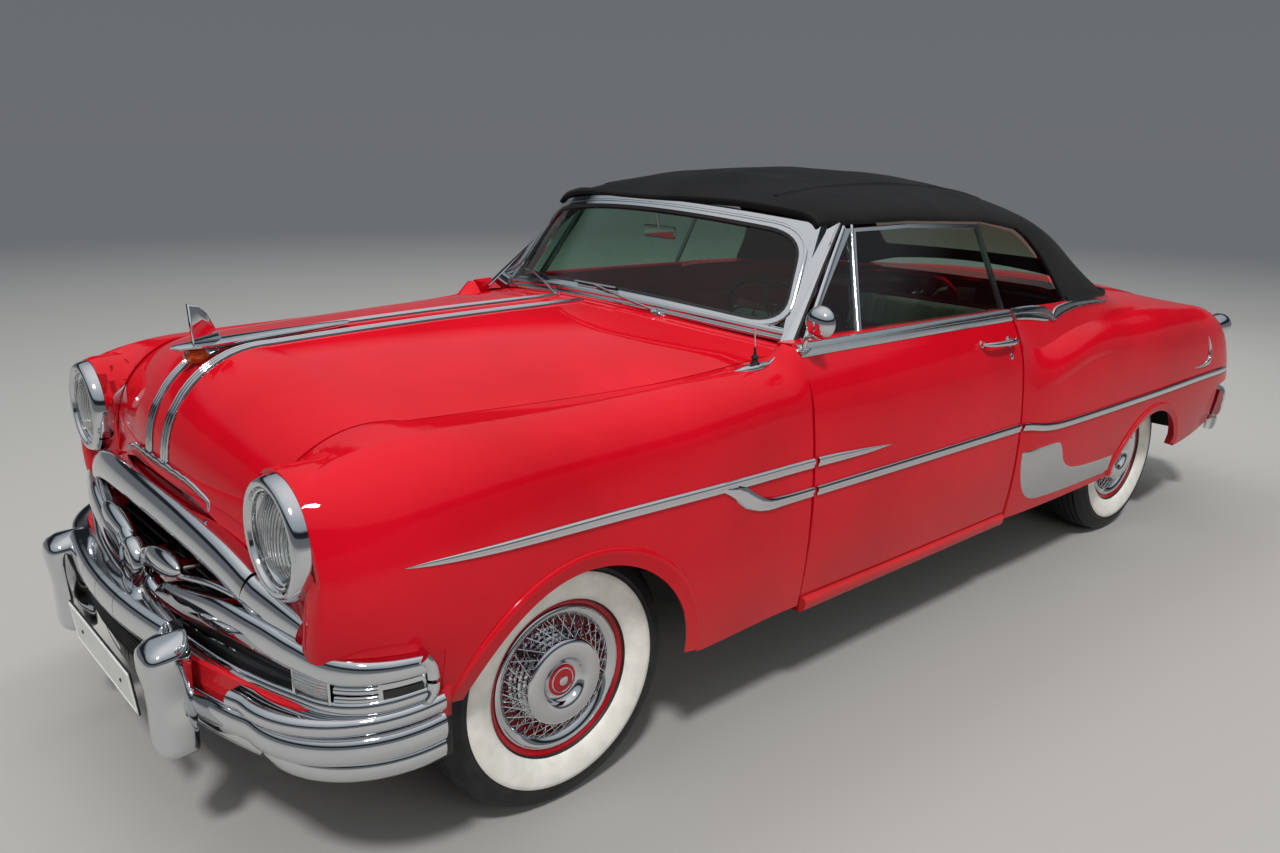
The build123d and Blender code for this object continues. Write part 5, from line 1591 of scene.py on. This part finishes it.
window_low, window_high, window_half, window_half_top = 1178.0, 1392.0, 424.0, 366.0
cut_plane(bm, (0, 0, window_low), (0, 0, 1))
cut_plane(bm, (0, 0, window_high), (0, 0, 1))
slant = (window_half - window_half_top) / (window_high - window_low)
for side in (-1, 1):
    cut_plane(bm, (0, side * window_half, window_low), (0, side, slant))
opening = []
for face in bm.faces:
    x, y, z = face.calc_center_median()
    if x < -820 and window_low < z < window_high and abs(y) < window_half - slant * (z - window_low):
        opening.append(face)
bmesh.ops.delete(bm, geom=opening, context="FACES")
flat_area = sum(f.calc_area() for f in bm.faces) * MM * MM
bmesh.ops.solidify(bm, geom=bm.faces[:], thickness=3.0)
cloth = finish_piece("fabric_top", bm, [black_canvas], 60.0)
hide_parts("convertible_top")

bm = bmesh.new()
front_edge = [stations[0][k] + Vector((2, 0, 2)) for k in range(0, 2 * half + 1)]
bar(bm, front_edge, [(-9, -14), (-9, 1), (-5, 6), (0, 8), (5, 6), (9, 1), (9, -14)], (0.6, 0, 0.8))
hem = [s[0] for s in stations if s[0].z > 1104]
for side in (1, -1):
    line = [Vector((p.x, p.y * side, p.z)) for p in hem]
    bar(bm, line, [(-1, -6), (-1, 3), (4, 5), (12, 5), (15, 3), (15, -6)], Vector((0, side, 0.4)))
for lateral in (-430, 430):
    touched = []
    for part in even_steps(0, 1, 51):
        x = 520 - 1340 * part
        touched.append(touch(cloth_skin, (x, lateral * (1 - 0.12 * part ** 2), 2000), (0, 0, -1)))
    moulding(bm, touched, half_round(22, 2.4, 2, 4))
    moulding(bm, touched, half_round(5, 4.2, 2, 4))
low_side = [Vector((y * (window_half + 6), window_low - 6)) for y in even_steps(-1, 1, 24)]
high_side = [Vector((y * (window_half_top + 6), window_high + 6)) for y in even_steps(1, -1, 24)]
binding = rounded([low_side, between(low_side, high_side), high_side, between(high_side, low_side)], 26,
    6)
binding.append(binding[0])
touched = [touch(cloth_skin, (-2600, y, z), (1, 0, 0)) for y, z in binding]
moulding(bm, touched, [(-15, -2), (-15, 2), (-10, 3.5), (10, 3.5), (15, 2), (15, -2)])
foot_line = [s[0] for s in stations if s[0].z < 1112 and s[0].x < -680]
for side in (1, -1):
    line = [Vector((p.x, p.y * side, p.z)) for p in foot_line]
    bar(bm, line, [(-4, -6), (-4, 3), (4, 6), (14, 5), (18, 2), (18, -6)], Vector((-0.2, side, 0.3)))
back = stations[-1]
bar(bm, [p + Vector((-3, 0, 2)) for p in back], [(-8, -8), (-8, 3), (0, 7), (8, 3), (8, -8)],
    (-0.6, 0, 0.8))
binding_piece = finish_piece("top_binding", bm, [black_canvas], 50.0)


# Seats
# Bench seats in red and silver-white leather: a wide front cushion with two backs, and a rear
# cushion with its back. Each is sewn in upright channels and edged with piping.
def leather(name, dark, light):
    """Grained hide with soft creases and a slight shine."""
    made, tree, shader = new_material(name, Roughness=0.42, Specular_IOR_Level=0.35)
    tone = toned(tree, noise(tree, 6.0, 4.0), ((0.3, dark), (0.7, light)))
    tree.links.new(tone, shader.inputs["Base Color"])
    place = add_node(tree, "TexCoord")
    grain = add_node(tree, "TexVoronoi", inputs={"Vector": place.outputs["Object"], "Scale": 420.0})
    bump(tree, shader.inputs["Normal"], grain.outputs["Distance"], 0.35, 0.0006)
    return made


red_leather = leather("red_grained_leather", "6E0A10", "8E1018")
white_leather = leather("silver_white_leather", "B9B8B2", "D2D0C8")
voxel = 0.014
swell_cap = 0.024


def settled(mesh, name):
    """The mesh remeshed evenly and blown up as a stuffed cover, within the cap."""
    blank = bpy.data.objects.new(name + "_form", mesh)
    bpy.context.scene.collection.objects.link(blank)
    remesh = blank.modifiers.new("even_faces", "REMESH")
    remesh.mode = "VOXEL"
    remesh.voxel_size = voxel
    even = bpy.data.meshes.new_from_object(blank.evaluated_get(bpy.context.evaluated_depsgraph_get()))
    blank.modifiers.clear()
    blank.data = even
    start = [v.co.copy() for v in even.vertices]
    cloth = blank.modifiers.new("stuffed_cover", "CLOTH")
    cloth.settings.use_pressure = True
    cloth.settings.uniform_pressure_force = 4.0
    cloth.settings.effector_weights.gravity = 0.0
    cloth.point_cache.frame_start = 1
    cloth.point_cache.frame_end = 20
    for frame_number in range(1, 21):
        bpy.context.scene.frame_set(frame_number)
    blown = bpy.data.meshes.new_from_object(blank.evaluated_get(bpy.context.evaluated_depsgraph_get()))
    blank.modifiers.clear()
    for vert, before, after in zip(even.vertices, start, [v.co.copy() for v in blown.vertices]):
        moved = after - before
        if moved.length > swell_cap:
            moved *= swell_cap / moved.length
        vert.co = before + moved
    bpy.data.meshes.remove(blown)
    bpy.context.scene.frame_set(1)
    bpy.data.objects.remove(blank)
    return even


def cushion(name, centre, half, turn, insert):
    """A stuffed block turned about the car's width. Its face with the sewn channels looks up
    or forward; insert is that face's half length and half width in white."""
    bm = bmesh.new()
    bmesh.ops.create_cube(bm, size=2.0)
    bmesh.ops.scale(bm, vec=[h * MM for h in half], verts=bm.verts)
    bmesh.ops.bevel(bm, geom=bm.edges[:] + bm.verts[:], offset=min(half) * 0.62 * MM, segments=5,
        profile=0.5, affect="EDGES", material=-1)
    mesh = bpy.data.meshes.new(name + "_block")
    bm.to_mesh(mesh)
    bm.free()
    even = settled(mesh, name)
    bm = bmesh.new()
    bm.from_mesh(even)
    bpy.data.meshes.remove(even)
    bpy.data.meshes.remove(mesh)
    bmesh.ops.scale(bm, vec=(1 / MM, 1 / MM, 1 / MM), verts=bm.verts)
    bmesh.ops.subdivide_edges(bm, edges=bm.edges[:], cuts=1, use_grid_fill=True, smooth=0.6)
    high_z = max(v.co.z for v in bm.verts)
    pitch = 62.0
    for vert in bm.verts:
        if vert.co.z > high_z * 0.35 and abs(vert.co.x) < insert[0] and abs(vert.co.y) < insert[1]:
            seam_phase = abs(sin(pi * vert.co.y / pitch))
            fade = min((insert[0] - abs(vert.co.x)) / 20, (insert[1] - abs(vert.co.y)) / 20, 1.0)
            vert.co.z -= 7.0 * (1 - seam_phase) ** 3 * fade
    for face in bm.faces:
        middle = face.calc_center_median()
        if middle.z > high_z * 0.35 and abs(middle.x) < insert[0] and abs(middle.y) < insert[1]:
            face.material_index = 1
    tree = BVHTree.FromBMesh(bm)
    welt = []
    for k in range(97):
        long, wide = squared(tau * k / 96, 0.25)
        welt.append(touch(tree, (long * insert[0], wide * insert[1], 900), (0, 0, -1)))
    moulding(bm, welt, half_round(9, 5, 2, 6))
    bmesh.ops.transform(bm, matrix=Matrix.Translation(Vector(centre)) @ Matrix.Rotation(turn, 4, "Y"),
        verts=bm.verts)
    return finish_piece(name, bm, [red_leather, white_leather], 60.0)


front_seat_parts = [cushion("front_cushion", (-165, 0, 548), (250, 650, 44), radians(3), (190, 590)),
    cushion("front_back_left", (-432, 332, 792), (178, 314, 46), radians(78), (128, 262)),
    cushion("front_back_right", (-432, -332, 792), (178, 314, 46), radians(78), (128, 262))]
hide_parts("front_seat")
rear_seat_parts = [cushion("rear_cushion", (-965, 0, 655), (172, 505, 40), radians(4), (128, 455)),
    cushion("rear_back", (-1150, 0, 850), (142, 505, 40), radians(76), (98, 455))]
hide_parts("rear_seat")
bm = bmesh.new()
for y in (-1, 1):
    rod(bm, (-395, y * 330, 500), (-470, y * 330, 800), 12)
for x0, x1, half_y, z0, z1 in ((-410, 70, 640, 488, 506), (-1130, -800, 495, 600, 617)):
    ring = [(x0, z0), (x1, z0), (x1, z1), (x0, z1)]
    drawn(bm, [[(x, y, z) for x, z in ring] for y in (-half_y, half_y)])
finish_piece("seat_frames", bm, [enamel_and_painted_shade], 40.0)


# Dashboard
# A red steel dashboard with a chrome band, a round speedometer before the driver, three small gauges and
# a row of knobs.
dash_red = coated_steel("red_dashboard_enamel", "8A0610", "A00A16", 0.25, 6.0, 0.0001)
refinish(dash_red, "dashboard")
dash_skin = surface("dashboard")
gauge_face = coated_steel("cream_gauge_face", "CFC8B4", "E0DACA", 0.5, 60.0, 0.00005)
bm = bmesh.new()


def on_dash(lateral, lift):
    return touch(dash_skin, (300, lateral, lift), (1, 0, 0))


for lift, wide in ((985, 16), (935, 8), (925, 8)):
    touched = [on_dash(y, lift) for y in even_steps(-660, 660, 30)]
    moulding(bm, touched, half_round(wide, 5, 2, 6))
for lateral, lift, radius in ((370, 1012, 78), (215, 962, 34), (120, 962, 34), (500, 962, 34),
        (-360, 962, 48)):
    place, normal = on_dash(lateral, lift)
    at = facing(place - normal * 3, normal)
    turned(bm, [(radius * 0.86, 4), (radius * 0.9, 12), (radius, 14), (radius * 1.06, 8),
        (radius * 1.08, -4)], 40, 0, at)
    turned(bm, [(radius * 0.88, 5), (0, 5.5)], 40, 1, at)
    rod(bm, at @ Vector((0, 0, 7)), at @ Vector((0, radius * 0.7, 7)), 1.2, 6, 0)
    turned(bm, [(radius * 0.1, 5), (radius * 0.1, 9), (0, 10)], 16, 0, at)
for lateral in (540, 290, 50, -10, -70, -130, -190):
    knob = [(4, -2), (4, 12), (11, 14), (12, 20), (10, 25), (0, 26)]
    turned(bm, knob, 20, 0, facing(*on_dash(lateral, 905)))
for k in range(14):
    place = on_dash(-150 + 14 * k, 1012)[0]
    rod(bm, place + Vector((0, 0, -16)), place + Vector((-2, 0, 16)), 3.0, 8, 0)
finish_piece("dashboard_trim", bm, [chrome, gauge_face], 40.0)


# Steering wheel
# A thin red rim with finger grips, three chrome spokes, a horn ring and a plain domed button.
wheel_tilt = radians(62)
wheel_at = Matrix.Translation((400, 370, 1035)) @ Matrix.Rotation(-wheel_tilt, 4, "Y")
red_rim = coated_steel("red_moulded_plastic", "6E0910", "840C14", 0.22, 11.0, 0.0001)


def radial(degrees):
    """The direction straight out from the shaft at this angle."""
    return Vector((cos(radians(degrees)), sin(radians(degrees)), 0))


def hoop(bm, radius, thickness, steps, sides, rise=0, material=0):
    """A closed ring about the shaft; thickness gives its section's radius at an angle."""
    rings = []
    for k in range(steps):
        angle = tau * k / steps
        outward = Vector((cos(angle), sin(angle), 0))
        thick = thickness(angle)
        rings.append([outward * (radius + thick * cos(tau * j / sides))
            + Vector((0, 0, rise + thick * sin(tau * j / sides))) for j in range(sides)])
    drawn(bm, rings + [rings[0]], True, material)
    bmesh.ops.delete(bm, geom=[f for f in bm.faces if len(f.verts) == sides], context="FACES")


bm = bmesh.new()
hoop(bm, 215, lambda angle: 10.6 - 0.9 * max(sin(angle * 24), 0), 96, 12)
for spoke in (radial(0), radial(120), radial(240)):
    for offset in (-7, 7):
        side_step = Vector((-spoke.y, spoke.x, 0)) * offset
        rod(bm, spoke * 24 + side_step * 1.3 + Vector((0, 0, -14)), spoke * 208 + side_step, 3.6, 10, 1)
turned(bm, [(0, 16), (16, 15), (28, 11), (35, 4), (38, -6), (38, -28), (28, -40), (0, -40)], 48, 1)
turned(bm, [(30, 9), (28, 12.5), (24, 13.8), (22, 12)], 48, 0)
hoop(bm, 118, lambda angle: 4.2, 64, 8, 6, 1)
for spoke in (radial(60), radial(180), radial(300)):
    rod(bm, spoke * 30 + Vector((0, 0, 2)), spoke * 117 + Vector((0, 0, 6)), 3.0, 8, 1)
rod(bm, (0, 0, -30), (0, 0, -118), 14, 20, 1)
bmesh.ops.transform(bm, matrix=wheel_at, verts=bm.verts)
wheel_piece = finish_piece("steering_wheel_rim", bm, [red_rim, chrome], 45.0, body="steering_wheel")
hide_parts("steering_wheel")
refinish(dash_red, "steering_column")
bm = bmesh.new()
rod(bm, wheel_at @ Vector((0, 20, -62)), wheel_at @ Vector((0, 170, -40)), 4.0, 10, 0)
rod(bm, wheel_at @ Vector((0, 170, -40)), wheel_at @ Vector((0, 186, -37)), 9.0, 14, 1)
turned(bm, [(26.5, -50), (30, -54), (30, -72), (26.5, -76)], 32, 0, wheel_at)
finish_piece("gear_lever", bm, [chrome, red_rim], 40.0)


# Mirrors
# A round chromed mirror on the left door and a small rectangular one inside the windshield.
mirror_silver = polished("silvered_mirror_glass", "D5D9DC", 0.02, 3.0, 0.01)
bm = bmesh.new()
foot_place = touch(door_skin, (842, 842, 1400), (0, 0, -1))[0]
stem_line = curve_through([foot_place + Vector((0, 0, 2)), (838, 852, foot_place.z + 34),
    (838, 880, 1150), (846, 900, 1182)], 6)
for i in range(len(stem_line) - 1):
    rod(bm, stem_line[i], stem_line[i + 1] + (stem_line[i + 1] - stem_line[i]) * 0.1, 8.5 - 0.12 * i, 14)
blob(bm, (842, 842, foot_place.z + 2), (34, 17, 8))
at = facing((858, 903, 1192), (1, 0, 0))
turned(bm, [(0, 20), (16, 18.5), (30, 13), (40, 4), (46, -8), (48, -16), (47, -20), (44, -20)], 64, 0, at)
turned(bm, [(44.5, -19), (0, -18.2)], 64, 1, at)
turned(bm, [(0, 26), (5, 24), (7, 18), (0, 17)], 24, 0, at)
mirror_piece = finish_piece("door_mirror_chrome", bm, [chrome, mirror_silver], 40.0, body="door_left")
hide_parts("door_mirror")
bm = bmesh.new()
bmesh.ops.create_cube(bm, size=1.0, matrix=Matrix.Translation((700, 78, 1373))
    @ Matrix.Rotation(0.12, 4, "Y") @ Matrix.Diagonal((14, 150, 42, 1)))
bmesh.ops.bevel(bm, geom=bm.edges[:], offset=5, segments=3, profile=0.5, affect="EDGES", material=-1)
rod(bm, (706, 78, 1385), (716, 78, 1442), 4, 12)
bmesh.ops.create_cube(bm, size=1.0, matrix=Matrix.Translation((691.6, 78, 1372))
    @ Matrix.Rotation(0.12, 4, "Y") @ Matrix.Diagonal((2, 138, 32, 1)))
finish_piece("inside_mirror", bm, [chrome], 30.0)


# Door trims
# A padded leather card covers each door's inner side: pleats in a pale field, a carpet strip below
# between chrome strips, an armrest, a release lever and a window crank.
red_carpet = canvas("red_looped_carpet", "2E070B", "4A0C12")


def on_card(x, z, out):
    """A place this far inside the left door's inner wall."""
    return touch(door_skin, (x, 300, z), (0, 1, 0))[0] + Vector((0, -out, 0))


def card_field(bm, xs, zs, material, swell):
    """A padded sheet on the door's inner wall; swell gives its thickness at a place."""
    sheet(bm, [[on_card(x, z, swell(x, z)) for z in zs] for x in xs], 1.5, material)


bm = bmesh.new()
card_xs = [770 - 10 * k for k in range(98)]


def rounded_off(x, z, low, high):
    """Pads thin out towards their own edges."""
    near = min(770 - x, x + 200, z - low, high - z)
    return clamp(near / 14) ** 0.5


card_field(bm, card_xs, [392 + 14 * k for k in range(11)], 2,
    lambda x, z: 1.5 + 4 * rounded_off(x, z, 392, 532))
card_field(bm, card_xs, [545 + 14 * k for k in range(17)], 3,
    lambda x, z: 2 + (5 + 5 * abs(sin(pi * x / 50)) ** 0.6) * rounded_off(x, z, 545, 769))
card_field(bm, card_xs, [782 + 14 * k for k in range(18)], 0,
    lambda x, z: 2 + 9 * rounded_off(x, z, 782, 1020))
for z in (538, 775):
    strip = [on_card(x, z, 4) for x in card_xs[::4]]
    bar(bm, strip, half_round(11, 5, 4), (0, -1, 0), 1)
rest = [(470, 60, 26), (455, 70, 34), (300, 78, 38), (100, 76, 38), (-60, 70, 34), (-78, 60, 26)]
rings = []
for x, reach, half_tall in rest:
    ring = []
    for k in range(16):
        across, tall = squared(tau * k / 16, 0.6)
        ring.append(on_card(x, 812, 0) + Vector((0, -reach * (across * 0.5 + 0.5), half_tall * tall)))
    rings.append(ring)
drawn(bm, rings)
for x, z, long in ((560, 905, 95), (150, 690, 110)):
    hub = on_card(x, z, 8)
    turned(bm, [(26, -10), (26, 2), (18, 7), (0, 8)], 32, 1, facing(hub, (0, -1, 0)))
    tip = on_card(x - long, z - 16, 30)
    rod(bm, hub + Vector((0, -8, 0)), tip, 7, 12, 1, 5)
    turned(bm, [(0, -4), (9, -2), (11, 8), (9, 20), (0, 23)], 24, 0, facing(tip, (0, -1, 0)))
finish_pair("door_card", bm, [red_leather, chrome, red_carpet, white_leather], 50.0, bodies=on_doors)


# Door handles, aerial and locks
# Pull-out chrome handles with a push button, a key lock under each, and the short aerial mast on
# the left fender.
bm = bmesh.new()
handle_line = [side_touch(door_skin, x, 1012)[0] + Vector((0, rise, 4 + 12 * (x + 215) / 210))
    for x, rise in ((-8, 8), (-24, 20), (-60, 27), (-110, 27), (-160, 25), (-190, 22), (-214, 18))]
stations = []
for i, (along, place) in enumerate(zip(tangents(handle_line), handle_line)):
    thick = (4, 7, 8, 9, 10, 12, 6)[i]
    tall = (4, 7, 9, 10, 11, 14, 8)[i]
    stations.append([place + Vector((0, thick * cos(tau * k / 12), tall * sin(tau * k / 12)))
        for k in range(12)])
drawn(bm, stations)
for x, radius in ((-24, 13), (-196, 19)):
    place, normal = side_touch(door_skin, x, 1014 + 12 * (x + 215) / 210)
    rod(bm, place - normal * 2, place + normal * 22, radius * 0.6, 20, 0, radius * 0.45)
    turned(bm, [(radius, -2), (radius, 1.5), (radius * 0.6, 4), (0, 4)], 28, 0, facing(place, normal))
push_button = [(11, 16), (11, 30), (9, 33), (0, 33.5)]
key_lock = [(11, -2), (11, 2), (8, 4), (0, 4)]
turned(bm, push_button, 24, 0, facing(*side_touch(door_skin, -196, 1012)))
turned(bm, key_lock, 24, 0, facing(*side_touch(door_skin, -196, 966)))
finish_pair("door_handle", bm, [chrome], 45.0, bodies=on_doors)

bm = bmesh.new()
ends = []
for k in range(15):
    x = 1082 - 156 * k / 14
    ends.append(touch(front_top, (x, 804 + 8 * k / 14, 1400), (0, 0, -1)))
sizes = [(max(sin(pi * (k + 0.15) / 14.3), 0.05), max(sin(pi * (k + 0.3) / 14.6), 0.2))
    for k in range(15)]
moulding(bm, ends, half_round(40, 11, 3, 10), sizes)
base = ends[7][0]
turned(bm, [(15, 6), (13, 12), (9, 16), (8, 24), (11, 27), (10, 32), (5, 36), (3.4, 48), (3.2, 58),
    (0, 58)], 24, 1, facing(base, (0.1, 0.05, 1)))
rod(bm, base + Vector((5, 2, 56)), base + Vector((11, 4, 104)), 2.2, 10, 0)
blob(bm, base + Vector((11, 4, 106)), (3.6, 3.6, 3.6))
finish_piece("aerial", bm, [chrome, seal_rubber], 40.0)


# Rear fender trim
# A chromed hockey-stick ornament on the tail of each rear fender.
bm = bmesh.new()
spine = [(-1762, 716), (-1830, 714), (-1900, 716), (-1944, 722), (-1962, 742), (-1962, 780), (-1944, 836)]
dense = curve_through([(x, z, 0) for x, z in spine], 6)
widths = curve_through([(w, 0, 0) for w in (2, 13, 19, 30, 30, 20, 2)], 6)
touched = [side_touch(quarter_side, p.x, p.y) for p in dense]
moulding(bm, touched, raised(spear_section, 9), [(w.x, min(w.x / 14, 1.0)) for w in widths])
finish_pair("fin_ornament", bm, [chrome], 30.0)


# Tail lamps
# Round red lenses with raised rings in deep chromed bezels at the ends of the rear fenders.
lamp_red = ribbed_glass("red_lamp_lens", "B00A10", "Z", 9.0, 0.8, 0.35)
for side, name in ((1, "left"), (-1, "right")):
    at = facing((-2300, side * 850, 840), (-1, 0, 0))
    bm = bmesh.new()
    turned(bm, [(0, -118), (46, -118), (50, -100), (56, -40), (57, -12), (55, -3), (50, 0), (46, -3),
        (44, -10), (43, -24), (0, -26)], 64, 0, at)
    finish_piece("tail_lamp_bezel_" + name, bm, [chrome], 40.0)
    bm = bmesh.new()
    turned(bm, [(44, -14), (43, -4), (38, 1), (34, 1), (31, 4), (26, 4.5), (23, 3), (20, 6), (10, 9),
        (0, 10)], 64, 0, at)
    turned(bm, [(44, -14), (0, -16)], 64, 0, at)
    lens = finish_piece("tail_lamp_lens_" + name, bm, [lamp_red], 50.0)
    if side > 0:
        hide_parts("tail_lamps")


# Rear bumper
# Stepped bars as in front with two guards, and on the trunk lid a blank plate and a lift handle.
bm = bmesh.new()
face_bar(bm, bumper_line(rear_rows, 470, 16, 0), [(-62, -42), (-62, -8), (-50, -1), (-24, 3), (-6, 1),
    (-2, 4), (18, 6), (44, 2), (58, -6), (62, -16), (62, -42)])
face_bar(bm, bumper_line(rear_rows, 368, 16, 0), [(-34, -46), (-34, -16), (-26, -6), (-8, 0), (10, 1),
    (26, -4), (34, -12), (34, -46)])
guard(bm, -2574, -1, 415, 302, 578, 50, 98)
doubled(bm)
for side in (-1, 1):
    rod(bm, (-2300, side * 500, 470), (-2450, side * 500, 470), 22, 16)
rear_piece = finish_piece("rear_bumper_chrome", bm, [chrome], 42.0)
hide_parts("rear_bumper")

trunk_skin = surface("trunk_lid")
bm = bmesh.new()
low_place, low_normal = touch(trunk_skin, (-2900, 0, 745), (1, 0, 0))
plate_turn = low_normal.to_track_quat("X", "Z").to_matrix().to_4x4()
plate_out = Matrix.Translation(low_place + low_normal * 22) @ plate_turn
plate(bm, plate_out, 440, 112)
for y in (-120, 120):
    rod(bm, plate_out @ Vector((-24, y, -30)), plate_out @ Vector((-4, y, -30)), 8, 12, 1)
finish_piece("rear_plate", bm, [plate_white, enamel_and_painted_shade], 30.0, body="trunk_lid")
bm = bmesh.new()
handle_place, handle_normal = touch(trunk_skin, (-2900, 0, 858), (1, 0, 0))
touched = []
for y in even_steps(-150, 150, 24):
    touched.append(touch(trunk_skin, (-2900, y, 862 - 10 * (y / 150) ** 2), (1, 0, 0)))
swells = [sin(pi * (k + 0.5) / 25) for k in range(25)]
sizes = [(0.45 + 0.55 * swell, 0.3 + 0.7 * swell) for swell in swells]
moulding(bm, touched, half_round(44, 26, 3, 12), sizes)
blob(bm, handle_place + handle_normal * 22 + Vector((0, 0, -22)), (20, 26, 13))
finish_piece("trunk_handle", bm, [chrome], 40.0, body="trunk_lid")
